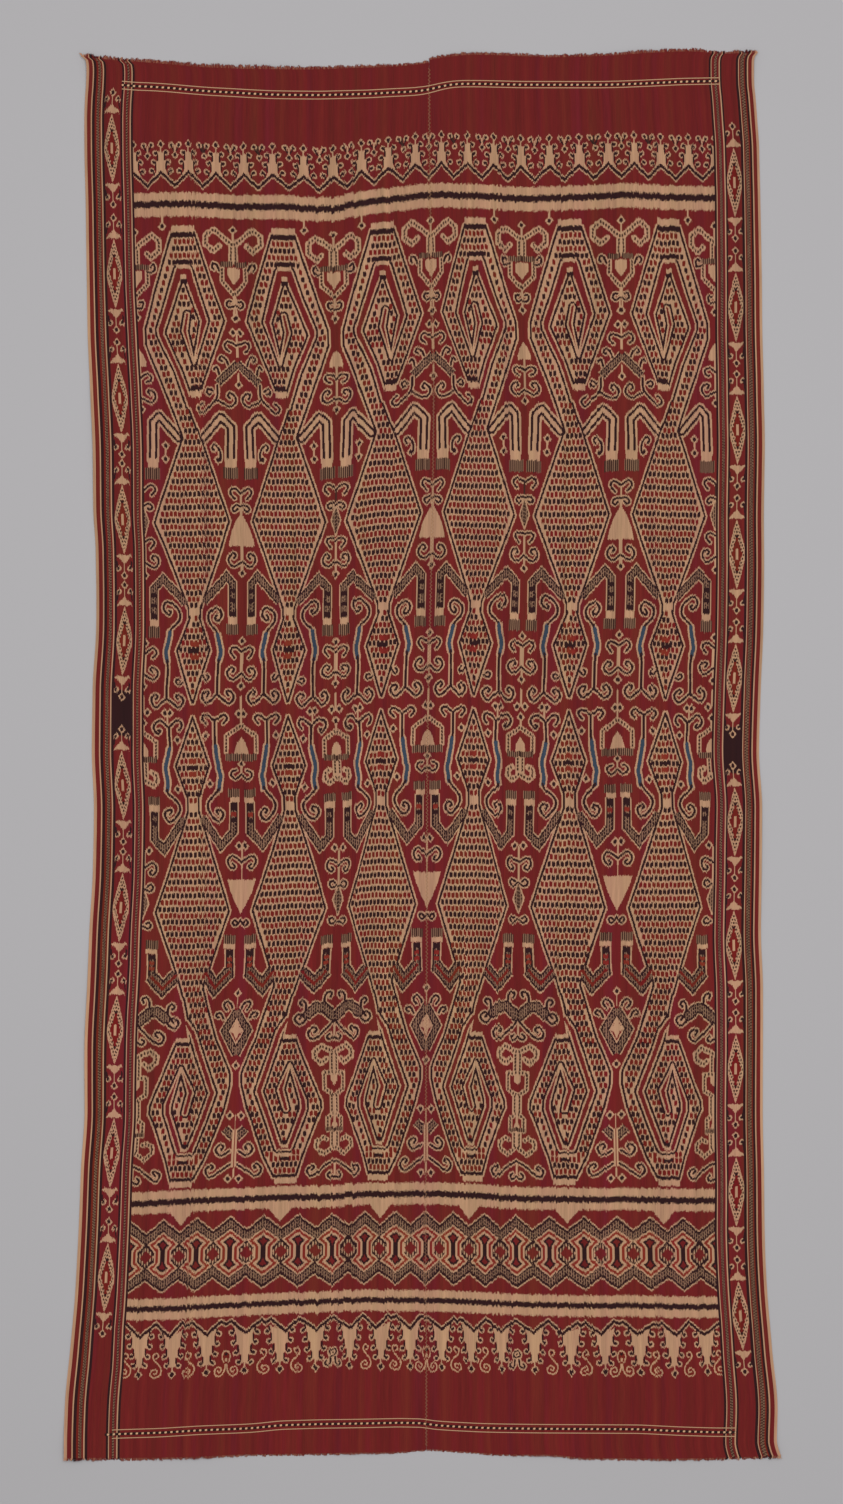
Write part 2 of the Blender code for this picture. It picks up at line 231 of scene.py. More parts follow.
# Each kind of stroke: layers of level, half width in knots and ink. Rims are laid before cores, over the whole chart.
strokeKinds = {
    "curl": ((0, 2.45, cream), (1, 1.12, black)),
    "serpent": ((0, 2.6, cream), (1, 1.22, black)),
    "blue": ((0, 3.7, cream), (1, 1.9, blue)),
    "stem": ((0, 0.95, cream),),
    "thickStem": ((0, 1.9, cream),),
    "darkStem": ((0, 0.8, brown),),
    "arm": ((0, 6.3, cream), (1, 4.3, black), (2, 1.9, cream)),
    "limb": ((0, 4.9, cream), (1, 3.7, black), (2, 2.4, None)),
    "vee": ((0, 7.4, cream), (1, 6.1, black), (2, 4.3, None), (3, 1.4, darkRed)),
    "foot": ((0, 5.2, cream), (1, 3.8, black), (2, 1.9, None)),
    "bow": ((0, 6.6, cream), (1, 5.3, black), (2, 3.6, None)),
    "dotted": ((0, 3.0, cream),),
    "narrowDotted": ((0, 2.4, cream),),
}
rounded = ("curl", "serpent", "blue")
mitred = ("limb", "vee", "foot", "topZigzag", "hangingZigzag")


def window(x0, y0, x1, y1):
    """The slices of the chart over a box, with the samples' places in knots."""
    rows, columns = chart["ink"].shape
    firstRow, lastRow = (np.clip(int((y - chart["top"]) / chartStep), 0, rows) for y in (y0, y1))
    firstColumn, lastColumn = (np.clip(int((x - chart["left"]) / chartStep), 0, columns) for x in (x0, x1))
    x = chart["left"] + (np.arange(firstColumn, lastColumn) + 0.5) * chartStep
    y = chart["top"] + (np.arange(firstRow, lastRow) + 0.5) * chartStep
    return (slice(firstRow, lastRow), slice(firstColumn, lastColumn)), x[None, :], y[:, None]


def hatch(x, y, pitch=2.3, unbroken=False, dark=brown):
    """Fine upright hatching on tan: dark threads two thirds of the pitch wide. Broken ones have a gap every 3.6 rows,
    every other one half of that lower."""
    unbroken = unbroken | ((y / 3.6 + 0.5 * (np.floor(x / pitch) % 2)) % 1 < 0.78)
    return np.where((x % pitch < 0.66 * pitch) & unbroken, dark, tan).astype(np.int8)


def lay(level, place, mask, ink):
    """Puts one ink area in the queue. Levels are inked in order, and within a level in the order given."""
    inkQueue.append((level, len(inkQueue), place, mask, np.asarray(ink, np.int8)))


def soften(path, times=2):
    """Cuts the corners of a path: each inner corner gives way to points a quarter along its two sides."""
    for _ in range(times):
        cut = np.stack([0.75 * path[:-1] + 0.25 * path[1:], 0.25 * path[:-1] + 0.75 * path[1:]], axis=1)
        path = np.concatenate([path[:1], cut.reshape(-1, 2)[1:-1], path[-1:]])
    return path


def pathDistance(path, x, y):
    """Distance in knots from each sample to the nearest point of a path."""
    nearest = np.full(np.broadcast(x, y).shape, 1e3)
    for (ax, ay), (bx, by) in zip(path[:-1], path[1:]):
        dx, dy = bx - ax, by - ay
        along = np.clip(((x - ax) * dx + (y - ay) * dy) / max(dx * dx + dy * dy, 1e-9), 0, 1)
        np.minimum(nearest, np.hypot(x - ax - along * dx, y - ay - along * dy), out=nearest)
    return nearest


def mitredDistance(path, x, y):
    """Distance to a path with sharp corners and flat ends: to each side's own line, between the lines that halve its
    two corners."""
    nearest = np.full(np.broadcast(x, y).shape, 1e3)
    steps = np.diff(path, axis=0)
    steps /= np.hypot(*steps.T)[:, None]
    for i, (dx, dy) in enumerate(steps):
        near = steps[i] + steps[max(i - 1, 0)]
        far = steps[i] + steps[min(i + 1, len(steps) - 1)]
        (ax, ay), (bx, by) = path[i], path[i + 1]
        own = ((x - ax) * near[0] + (y - ay) * near[1] >= 0) & ((x - bx) * far[0] + (y - by) * far[1] <= 0)
        np.minimum(nearest, np.where(own, np.abs((x - ax) * dy - (y - ay) * dx), 1e3), out=nearest)
    return nearest


def outlineDistance(outline, x, y):
    """Distance to a closed outline, negative inside, by counting the sides that each sample's row crosses."""
    closed = np.concatenate([outline, outline[:1]])
    inside = np.zeros(np.broadcast(x, y).shape, bool)
    for (ax, ay), (bx, by) in zip(closed[:-1], closed[1:]):
        if ay != by:
            inside ^= ((ay > y) != (by > y)) & (x < (bx - ax) * (y - ay) / (by - ay) + ax)
    return np.where(inside, -1, 1) * pathDistance(closed, x, y)


def stroke(kind, path):
    """A band along a path, in the layers of its kind, with dots along it where the kind is dotted."""
    path = np.array(path, float)
    if kind in rounded:
        path = soften(path)
    reach = 1.5 * strokeKinds[kind][0][1] + 1
    place, x, y = window(*(path.min(axis=0) - reach), *(path.max(axis=0) + reach))
    distance = mitredDistance(path, x, y) if kind in mitred else pathDistance(path, x, y)
    for level, half, ink in strokeKinds[kind]:
        lay(level, place, distance < half, hatch(x, y, dark=black) if ink is None else ink)
    if kind in ("dotted", "narrowDotted"):
        steps = np.append(0, np.cumsum(np.hypot(*np.diff(path, axis=0).T)))
        at = np.arange(1.8, steps[-1], 3.5)
        for cx, cy in zip(np.interp(at, steps, path[:, 0]), np.interp(at, steps, path[:, 1])):
            dot(cx, cy, 0.9, 1.5, brown, 3)


def dot(cx, cy, halfWidth, halfHeight, ink, level):
    """A rounded dot: (dx / halfWidth)^4 + (dy / halfHeight)^4 < 1."""
    place, x, y = window(cx - halfWidth - 1, cy - halfHeight - 1, cx + halfWidth + 1, cy + halfHeight + 1)
    lay(level, place, ((x - cx) / halfWidth) ** 4 + ((y - cy) / halfHeight) ** 4 < 1, ink)


def bead(cx, cy, halfWidth=4.1, halfHeight=4.6, core=1.8):
    """A diamond in cream with a dark core: |dx| / halfWidth + |dy| / halfHeight < 1."""
    place, x, y = window(cx - 6, cy - 6, cx + 6, cy + 6)
    ring = np.abs(x - cx) / halfWidth + np.abs(y - cy) / halfHeight
    lay(0, place, ring < 1.08, cream)
    lay(1, place, ((x - cx) / core) ** 2 + ((y - cy) / (core * 1.3)) ** 2 < 1, black)


def disc(cx, cy, radius, ink, level):
    place, x, y = window(cx - radius - 1, cy - radius - 1, cx + radius + 1, cy + radius + 1)
    lay(level, place, np.hypot(x - cx, y - cy) < radius, ink)


def loop(cx, cy, core=1.65):
    """The round end of a curl: a cream disc with a dark core."""
    disc(cx, cy, 2.95, cream, 0)
    disc(cx, cy, core, black, 1)


def block(x0, x1, y0, y1, ink, level=3):
    """A plain upright block, hatched where the ink is None."""
    place, x, y = window(x0, y0, x1, y1)
    lay(level, place, np.ones(np.broadcast(x, y).shape, bool), hatch(x, y, 2.1, True) if ink is None else ink)


def patch(outline, ink, level=2):
    """A plain filled shape."""
    outline = np.array(outline, float)
    place, x, y = window(*(outline.min(axis=0) - 1), *(outline.max(axis=0) + 1))
    lay(level, place, outlineDistance(outline, x, y) < 0, ink)


dotPitch = 4.25  # knots
dotColumn = 46.8  # the chart column of one dot


def dottedBody(outline, rows, channel=(), lastRows=None, aside=darkRed):
    """A body: a cream line 1.6 wide outside its outline, black 2.2 inside, then cream ground with rows of dots.
    A channel, as path points with half widths, is cut out of it. Dots stand on the same columns in every second row,
    and half a pitch aside in the rows of the ink named aside. Where a row has two runs or more, the last one takes
    its dots from lastRows, if given."""
    outline = np.array(outline, float)
    place, x, y = window(*(outline.min(axis=0) - 3), *(outline.max(axis=0) + 3))
    distance = outlineDistance(outline, x, y)
    for (ax, ay, aHalf), (bx, by, bHalf) in zip(channel[:-1], channel[1:]):
        dx, dy = bx - ax, by - ay
        along = np.clip(((x - ax) * dx + (y - ay) * dy) / (dx * dx + dy * dy), 0, 1)
        half = aHalf + along * (bHalf - aHalf)
        distance = np.maximum(distance, half - np.hypot(x - ax - along * dx, y - ay - along * dy))
    lay(0, place, distance < 1.6, cream)
    lay(1, place, distance < 0, black)
    lay(2, place, distance < -2.1, cream)
    for own, group in ((True, rows), (False, lastRows or ())):
        for row, ink in group:
            near = np.abs(y[:, 0] - row).argmin()
            if abs(y[near, 0] - row) > chartStep:
                continue
            ground = np.concatenate([[False], distance[near] < -2.6, [False]])
            starts, ends = np.flatnonzero(ground[1:] & ~ground[:-1]), np.flatnonzero(ground[:-1] & ~ground[1:])
            runs = list(zip(starts, ends))
            if lastRows and len(runs) > 1:
                runs = runs[:-1] if own else runs[-1:]
            elif not own:
                runs = []
            for start, end in runs:
                first, last = x[0, start], x[0, end - 1]
                if last - first < 1.4:
                    continue
                one = dotColumn + (0.5 * dotPitch if ink == aside else 0)
                inner = one + dotPitch * np.arange(np.ceil((first + 0.6 - one) / dotPitch),
                                                   np.floor((last - 0.6 - one) / dotPitch) + 1)
                for column in inner if inner.size else [(first + last) / 2]:
                    dot(column, row, 1.65, 2.7, ink, 3)


# The field's chart, in knots. The columns of the figures are read on the laid cloth, where the threads draw in and
# spread, so the two axes that they mirror about are tables by row.

axisRows = (218, 300, 330, 400, 450, 490, 560, 650, 700, 740, 800, 845, 880, 914, 970, 1031, 1067, 1100, 1165)
axisB = (134, 137, 138.4, 141.5, 143, 143.7, 145, 144, 143.5, 143.5, 143.5, 143, 142.5, 141.9, 140, 137.9, 136.6,
         134.8, 132.5)
axisA = (232.3, 234.5, 237, 238.9, 240.2, 241.5, 242.3, 242, 241, 241, 241.7, 242, 241.5, 240.7, 239.3, 236.7, 235.8,
         235, 233.3)
repeatWidth = 97.0  # knots from one axis to the other in the field's chart


def fromLaid(points):
    """Laid columns turned into the chart's: 97 * (x - B) / (A - B), where A and B are the axes at that row."""
    points = np.array(points, float)
    b = np.interp(points[:, 1], axisRows, axisB)
    a = np.interp(points[:, 1], axisRows, axisA)
    points[:, 0] = repeatWidth * (points[:, 0] - b) / (a - b)
    return points


def widthLaid(x, y):
    return fromLaid([(x, y)])[0, 0]


def alternate(first, last, pitch, ink):
    """Rows of dots from first to last at a pitch, black and dark red in turn, starting with the given ink."""
    count = int(round((last - first) / pitch)) + 1
    other = darkRed if ink == black else black
    return [(y, ink if i % 2 == 0 else other) for i, y in enumerate(np.linspace(first, last, count))]


upperHeadRows = alternate(241.5, 311, 6.95, darkRed) + alternate(317.5, 430, 6.25, black) + [(436, darkRed)]
upperBodyRows = alternate(441.5, 532.6, 6.51, black) + alternate(538.8, 605, 6.02, darkRed)
smallUpperRows = [(612, black)] + alternate(618, 697, 6.1, darkRed)
smallLowerRows = alternate(729, 806, 6.4, black)
lowerBodyRows = alternate(813.9, 908.7, 6.77, black) + alternate(915.1, 988.5, 6.12, darkRed)
lowerHeadRows = (alternate(993.9, 1043.2, 5.48, black) + alternate(1049.4, 1105.4, 5.6, darkRed)
                 + alternate(1112, 1156, 6.28, black) + [(1162, darkRed), (1168, black), (1174, darkRed)])
lowerStemRows = alternate(1047.8, 1157, 5.75, black)

bodies = (
    {
        "outline": ((171, 232), (145, 329), (145.5, 345), (181.5, 437), (182.5, 447), (199.5, 447), (200.5, 437),
                    (186, 400), (190, 390), (201.5, 390), (225.8, 321), (195, 232)),
        "rows": upperHeadRows,
        "channel": ((190, 405, 3.4), (178, 370, 3.3), (161.5, 334.5, 3.6), (161.5, 330, 4.0), (171, 299.5, 4.2),
                    (180, 270.8, 5), (187.5, 270.8, 5), (196.8, 299.5, 4.5), (204.8, 321, 3.9), (194.4, 363, 1.2),
                    (185.2, 331, 2.9), (187.6, 314, 2.6)),
    },
    {
        "outline": ((179.5, 428), (181.5, 436), (154, 521), (188, 610), (188, 618), (201, 618), (201, 610),
                    (231, 521), (201.5, 437), (197.5, 428)),
        "rows": upperBodyRows,
    },
    {
        "outline": ((188.5, 602), (188.5, 618), (175.5, 650), (191.5, 703), (194, 703), (210.8, 650), (200.5, 618),
                    (200.5, 602)),
        "rows": smallUpperRows,
        "aside": black,
    },
    {
        "outline": ((192, 716), (175, 766), (186.5, 798), (186.5, 819), (199.5, 819), (199.5, 798), (210.5, 766),
                    (193.5, 716)),
        "rows": smallLowerRows,
        "aside": black,
    },
    {
        "outline": ((186.5, 804), (186.5, 811), (154, 911), (178, 984), (182, 998), (202, 998), (204.5, 984),
                    (230, 911), (199.5, 811), (199.5, 804)),
        "rows": lowerBodyRows,
    },
    {
        "outline": ((180, 985), (186, 1012), (190, 1042), (175.5, 1042), (159.5, 1080), (148, 1105), (147, 1113),
                    (150.5, 1120), (165, 1160), (171, 1181), (194.5, 1181), (205, 1160), (224.5, 1110), (230.5, 1087),
                    (231, 1075), (229.5, 1070), (217.5, 1040), (203, 985)),
        "rows": lowerHeadRows,
        "lastRows": lowerStemRows,
        "channel": ((186.5, 1022, 3.0), (193.5, 1034, 3.5), (198, 1050, 3.5), (212, 1094, 3.5), (190.5, 1151, 3.4),
                    (179.5, 1151, 3.4), (166.5, 1113, 3.5), (167, 1105, 3.5), (181.5, 1067, 1.2), (190.5, 1093, 3.3),
                    (184.5, 1113, 3.0)),
    },
)

# Strokes read between the axes, in laid knots.
laidStrokes = (
    ("arm", ((203, 437.5), (220, 416.5), (230.5, 427), (230.5, 459))),
    ("arm", ((178, 437.5), (158.5, 415.5), (152.7, 422), (152.7, 459))),
    ("limb", ((186, 603), (162.5, 578), (153.3, 588), (153.3, 620))),
    ("limb", ((203.5, 602), (226.5, 576), (232.5, 583), (232.5, 617))),
    ("limb", ((183.5, 817), (163, 849), (153, 838), (153, 811))),
    ("limb", ((201.5, 817), (221, 845), (233.5, 831), (233.5, 802))),
    ("foot", ((151.5, 980), (151.5, 953))),
    ("foot", ((229.5, 979), (229.5, 950))),
    ("vee", ((176, 974), (162, 988), (150.5, 975))),
    ("vee", ((204.5, 972), (214.5, 988), (230, 972))),
    ("serpent", ((168.5, 610), (171, 611.5), (168.5, 615), (163, 610.5), (163, 604.5), (167.5, 600.5), (173.5, 604.5),
                 (179.5, 611), (180, 619), (176, 624), (169.5, 629), (169, 632))),
    ("blue", ((169, 631), (168.5, 637), (166, 647), (165.3, 652), (167, 660))),
    ("serpent", ((167, 659), (168, 668), (166.5, 698))),
    ("serpent", ((167, 698), (163, 701), (156, 707.5), (151.5, 701.5), (151.5, 697), (155.5, 692.5), (158.5, 695.5),
                 (156, 698))),
    ("serpent", ((167, 698), (172, 702), (178.5, 708.5), (183.5, 702), (183.5, 698), (178.5, 693.5), (175.5, 696.5),
                 (178, 698.5))),
    ("serpent", ((217, 615), (214.5, 618), (217, 621.5), (221.5, 616.5), (221.5, 611), (217, 607), (212, 610),
                 (208, 614), (208.5, 622), (213, 627), (216.5, 631), (217.5, 635))),
    ("blue", ((217.5, 634), (219, 642), (221, 650), (220.5, 655), (219, 660))),
    ("serpent", ((219, 659), (218, 670), (217.5, 694))),
    ("serpent", ((217.5, 694), (213, 698), (207, 704), (202, 698), (202.5, 693.5), (207, 690.5), (209.5, 693),
                 (207, 696.5))),
    ("serpent", ((217.5, 694), (222, 698), (228.5, 705), (234, 699), (233.5, 694), (229, 690), (226, 692.5),
                 (228.5, 695.5))),
    ("curl", ((183, 682), (178.5, 684.5), (175.5, 681), (178, 678), (180.5, 680))),
    ("curl", ((203, 675.5), (207, 681), (209.5, 677), (207, 674.5))),
    ("serpent", ((169, 727), (163, 721.5), (158.5, 719), (153.5, 724), (154, 728.5), (158.5, 733.5), (161, 730.5),
                 (158.5, 729))),
    ("serpent", ((169, 727), (174, 722), (179, 719), (182, 723), (181.5, 727), (179, 729.5))),
    ("serpent", ((169, 727), (170, 745), (170, 750))),
    ("blue", ((169.5, 748), (168.5, 755), (166.5, 762), (165.5, 768), (167, 777), (168, 782), (166.5, 790))),
    ("serpent", ((166.5, 789), (167, 793), (176, 800), (180, 806), (178.5, 813), (174, 818), (169, 822.5), (164, 817),
                 (163.5, 812), (168.5, 808), (171.5, 810.5), (169, 813.5))),
    ("serpent", ((214.5, 720), (205.5, 713.5), (201, 718), (206, 723.5))),
    ("serpent", ((214.5, 720), (218.5, 718), (223, 713.5), (228, 718.5), (223.5, 723))),
    ("serpent", ((214.5, 720), (214.5, 742), (215.5, 748))),
    ("blue", ((215.5, 746), (216.5, 755), (218.5, 765), (219, 770), (221, 775), (219.5, 782), (219, 789))),
    ("serpent", ((219, 788), (216, 793), (211, 798), (207.5, 803), (207.5, 809), (211, 815), (217.5, 822),
                 (222.5, 817), (223, 812), (218.5, 808.5), (215.5, 811), (218, 813.5))),
    ("stem", ((167.5, 714), (167.5, 724))),
    ("curl", ((214, 450), (211.5, 447), (213.5, 443.5), (217, 446), (220.5, 451), (220.5, 460), (217.5, 460.5))),
    ("stem", ((165.5, 447), (165.5, 457))),
    ("stem", ((162.3, 214), (162.3, 224))),
    # figures over the A axis, of which the left half is given
    ("stem", ((232.5, 232), (232.8, 242))),
    ("dotted", ((233, 246), (213.5, 229), (205.5, 235), (205.5, 244), (213.5, 251), (219.5, 246))),
    ("narrowDotted", ((231, 247), (231, 264))),
    ("narrowDotted", ((222.3, 268), (222.3, 281), (233.5, 294.5))),
    ("curl", ((219.5, 271), (217, 264.5), (213.5, 263), (212, 267), (214, 269.5))),
    ("stem", ((233.7, 296), (234.5, 316))),
    ("curl", ((233.9, 306), (229.5, 308), (226, 304.5), (228, 300.5), (231, 301.5))),
    ("stem", ((237.3, 335), (237.3, 357))),
    ("curl", ((237.3, 346), (228.5, 340.5), (224.5, 345), (226, 349), (229.5, 351.5))),
    ("limb", ((238, 363.5), (217.5, 383))),
    ("curl", ((217, 385), (217.5, 398), (208, 407), (202, 413.5), (197.5, 409), (198, 406), (202.5, 402.5))),
    ("curl", ((217.5, 400), (229, 407.5), (235.5, 403), (235.5, 397), (229.5, 391.5), (227, 395.5), (229.5, 398))),
    ("curl", ((228.5, 365), (226.5, 359.5), (221.5, 355.8), (218.8, 359.5), (222.3, 361.5))),
    ("curl", ((219, 374), (218, 368.5), (215.5, 366), (214, 369))),
    ("curl", ((212.8, 391), (209, 387.5), (206, 390.5), (208, 394.5), (210.5, 393))),
    ("stem", ((238.3, 374), (238.3, 384))),
    ("curl", ((241, 493), (234, 486.5), (229.5, 492), (235.5, 498.5))),
    ("stem", ((241.5, 494), (241.5, 514))),
    ("curl", ((241, 506), (236.5, 504.5), (232.5, 508.5), (235.5, 512), (238.5, 509))),
    ("stem", ((241.5, 546), (241.7, 572))),
    ("curl", ((241.5, 562), (234, 567.5), (228.5, 562), (229, 557), (233.5, 552), (236.5, 555.5), (234, 558))),
    ("curl", ((242, 652), (234, 645.5), (229.5, 651), (234.5, 657.5))),
    ("thickStem", ((242, 653), (242, 673))),
    ("stem", ((242, 673), (241.7, 684))),
    ("curl", ((241.5, 673.5), (232.5, 681), (227, 675), (227.5, 671), (232, 666.5), (235, 669.5), (232.5, 672))),
    ("stem", ((241, 697), (241, 722))),
    ("narrowDotted", ((241, 725), (226, 736), (226, 752))),
    ("stem", ((241.3, 760), (241.3, 776))),
    ("curl", ((241, 775), (235.5, 780), (230.5, 775.5), (231.5, 771.5), (236, 770))),
    ("stem", ((242, 846), (242, 878))),
    ("curl", ((242, 862), (238, 858), (232, 854), (227.5, 859), (228, 864), (232, 868.5), (235.5, 865.5),
              (232.5, 863))),
    ("curl", ((241, 920), (236, 927), (232, 923), (235, 919.5), (237, 922.5))),
    ("stem", ((238.5, 998), (238.3, 1009))),
    ("curl", ((233, 1009), (232, 1005), (227.5, 1001.5), (223.5, 1006), (227.5, 1011))),
    ("limb", ((237.5, 1012), (225, 1032), (236.5, 1056))),
    ("curl", ((224, 1020), (221.5, 1014), (218, 1013), (216, 1016.5), (219.5, 1018))),
    ("stem", ((235, 1117), (235, 1131))),
    ("limb", ((233, 1139), (224, 1130))),
    ("curl", ((229, 1152), (220, 1158), (215.5, 1152), (216, 1148.5), (221, 1145), (223.5, 1148), (221, 1151))),
    ("curl", ((230, 1165), (220, 1172), (210.5, 1179), (206, 1173), (206.5, 1169), (211, 1165), (214, 1167.5),
              (211.5, 1170))),
    ("stem", ((233.5, 1170), (233.5, 1178))),
)

# Strokes over the B axis, of which the right half is given: knots out from the axis, and row.
axisStrokes = (
    ("stem", ((0, 233), (0, 247))),
    ("dotted", ((0, 249), (16.5, 235), (24, 241), (24, 251), (16.5, 258), (12, 253.5))),
    ("narrowDotted", ((2.3, 250), (2.3, 266))),
    ("narrowDotted", ((12, 270), (12, 284), (0, 296))),
    ("curl", ((14, 272), (18.5, 272.5), (20, 267.5), (18, 264), (15.5, 267))),
    ("stem", ((0, 298), (0, 316))),
    ("curl", ((0, 308), (4.5, 309), (7, 305), (6, 301.5), (3, 302.5))),
    ("stem", ((0, 366), (0, 403))),
    ("curl", ((0, 378), (4.5, 374), (9.5, 374), (11.5, 377.5), (9, 381), (6, 382))),
    ("curl", ((0, 398), (4.5, 400), (9, 403), (14, 398.5), (14, 393), (9.5, 389), (6, 391.5), (8.5, 394))),
    ("curl", ((0, 489), (8, 483), (13, 488.5), (8, 494))),
    ("darkStem", ((0, 490), (0, 504))),
    ("curl", ((0, 504), (5, 502), (9.5, 505.5), (6.5, 509), (4, 507))),
    ("curl", ((0, 540), (6, 537), (10.7, 541), (5.5, 547.5))),
    ("stem", ((0, 541), (0, 571))),
    ("curl", ((0, 561.5), (8.5, 568), (13.5, 563), (13.5, 557), (9, 553.5), (6, 557), (8.5, 559))),
    ("curl", ((0, 652), (8, 645.5), (13, 651), (8, 656.5))),
    ("thickStem", ((0, 653), (0, 672))),
    ("stem", ((0, 672), (0, 683))),
    ("curl", ((0, 672.5), (9, 680), (14, 674), (14, 669.5), (9, 665.5), (5.5, 668), (8.5, 671))),
    ("stem", ((0, 695), (0, 710))),
    ("stem", ((0, 724), (0, 730))),
    ("narrowDotted", ((0, 732), (12.5, 740.5), (12.5, 756))),
    ("narrowDotted", ((2.3, 762), (2.3, 777))),
    ("dotted", ((0, 779), (9, 785), (13, 780), (12, 774), (8, 771.5))),
    ("stem", ((0, 852), (0, 886))),
    ("curl", ((0, 867), (8.5, 861), (12.5, 866), (11.5, 871.5), (8, 875), (5, 872), (7.5, 869.5))),
    ("curl", ((1, 888), (6.5, 891.5), (10, 887), (6.5, 883), (3.5, 886))),
    ("curl", ((1, 925), (6, 928.5), (9.5, 924.5), (6.5, 921), (4, 923))),
    ("serpent", ((11, 1007), (10.5, 999), (6.5, 996), (3, 998), (5, 1001.5))),
    ("bow", ((1, 1021), (12, 1011), (19, 1011), (27, 1018))),
    ("serpent", ((29, 1014), (29, 1006), (33, 1003), (36, 1006.5), (33, 1009))),
    ("serpent", ((27, 1021), (34.5, 1029), (40, 1024), (39.5, 1020), (35, 1017), (32, 1019), (35, 1022))),
    ("serpent", ((2, 1027), (11, 1036), (21, 1044.5), (26, 1040), (26, 1035), (20.7, 1030.5), (16.7, 1033.5),
                 (20, 1036.5))),
    ("stem", ((0, 1026), (0, 1043))),
    ("curl", ((0, 1041), (4.5, 1045), (8, 1041), (4.5, 1038.5))),
    ("dotted", ((0, 1057), (13, 1050), (19.5, 1056), (19, 1061.5), (12.3, 1067.5), (7.5, 1063.5))),
    ("narrowDotted", ((2.3, 1058), (2.3, 1076))),
    ("narrowDotted", ((0, 1077.5), (10, 1077.5), (9.7, 1094), (0, 1101))),
    ("narrowDotted", ((2.6, 1100), (2.6, 1117))),
    ("narrowDotted", ((0, 1118), (7, 1123), (7, 1135))),
    ("narrowDotted", ((2.6, 1137), (2.6, 1151))),
    ("narrowDotted", ((0, 1151), (10.5, 1158.5), (18.5, 1151.5), (18, 1146), (12, 1142), (8, 1144))),
    ("curl", ((0, 1165), (7, 1168), (14.5, 1174), (22.5, 1181.5), (27, 1176.5), (27, 1173), (22, 1169.5),
              (19.5, 1171.5), (22.5, 1174.5))),
    ("stem", ((0, 1166), (0, 1178))),
    ("curl", ((0, 1180), (4.5, 1183), (7.5, 1179.5), (4.5, 1176.5))),
)

laidBeads = ((162.3, 226.5), (232.5, 229.3), (235.5, 318.5), (238.5, 385), (165.5, 445), (165.5, 458.5), (218, 459),
             (242.3, 573), (242, 641), (241, 686), (241.5, 764), (205.5, 735.5), (177.5, 739.5), (177.5, 788.5),
             (210, 783.5), (238.5, 994.5), (235.8, 1067), (165, 712.5), (170, 712.5), (238.5, 713.5), (239, 845),
             (233.5, 332.5), (229, 1117), (228, 1179.5))
axisBeads = ((0, 232), (0, 317.5), (0, 409), (0, 574.5), (0, 642), (0, 685), (0, 722), (4, 711.5), (4.5, 850))

# Plain blocks in laid knots: left, right, top, bottom and ink, where None is hatched.
laidBlocks = (
    (171.5, 194.5, 225.5, 232, cream), (171, 194.5, 232.5, 237.5, black), (176, 191.5, 259.5, 264.5, black),
    (177, 190.5, 264.5, 268.5, cream), (181, 187, 274.5, 279, cream), (181, 187.5, 279, 283.5, black),
    (190.5, 201, 384.5, 390, black), (190.5, 201.5, 390, 396.5, cream),
    (225, 236.5, 458, 467, cream), (147.5, 158.5, 458, 467, cream),
    (223.5, 238, 467, 478.5, None), (145, 160, 467, 478.5, None),
    (150.7, 156, 592, 597, black), (150.7, 156, 603, 607, black), (150.7, 156, 613, 618.5, black),
    (149, 158, 619, 625.5, cream), (147, 159, 625.5, 636.5, None),
    (230, 235.2, 588, 592, black), (230, 235.2, 597.5, 602, black), (230, 235.2, 611, 615.5, black),
    (228, 237.5, 616.5, 624, cream), (226, 238.5, 624, 634.5, None),
    (189.5, 199.5, 608, 615, cream), (191, 199, 641, 646, brick), (188, 199, 648, 652.5, black),
    (191, 199, 654, 659, brick),
    (190, 197, 758, 763.5, brick), (188, 198, 765, 769.5, black), (190, 197, 771, 776, brick),
    (188.5, 197.5, 803, 811, cream),
    (150.7, 155.8, 811, 815.5, black), (150.7, 155.8, 820, 825, black), (230.8, 236, 803, 810.5, black),
    (230.8, 236, 812, 816.5, brick), (230.8, 236, 818, 822, black), (148.7, 154, 953, 958, black),
    (148.7, 154, 960, 963.5, brick), (148.7, 154, 965.5, 969, brick), (226.8, 232, 951, 956, black),
    (226.8, 232, 958, 962, brick), (226.8, 232, 964, 968, brick),
    (147.5, 158.5, 804.5, 811, cream), (147, 159, 796, 804.5, None),
    (230, 239.5, 797.5, 802.5, cream), (227.5, 239.5, 789, 797.5, None),
    (145.5, 157, 948, 952.5, cream), (145.5, 158, 939, 948, None),
    (223.5, 235.5, 944.5, 949.5, cream), (223.5, 236, 935.5, 944.5, None),
    (176, 190, 1037.5, 1041, cream), (176, 190, 1041.5, 1045.5, black), (183, 187, 1144, 1148.5, black),
    (181, 188, 1149, 1151.5, cream), (179.5, 188, 1158.5, 1160.5, cream), (178.5, 188.5, 1160.5, 1164, black),
    (171, 194, 1177.5, 1181, black), (171, 193.5, 1181.5, 1187, cream),
    (225.5, 241, 753.5, 761, None), (220.5, 233, 261.5, 267, None),
    (231.5, 237.5, 1131, 1168, cream), (233.2, 236, 1131, 1168, darkRed),
)
axisBlocks = ((0, 13.5, 264.5, 270, None), (0, 13.5, 755.5, 761.5, None), (0, 1.4, 1100, 1151, cream), (0, 9, 1132, 1136, None))

# Narrow hatched lozenges on the B axis: row, half width and half height.
axisLozenges = ((520, 4.4, 13.5), (903, 5.0, 14))

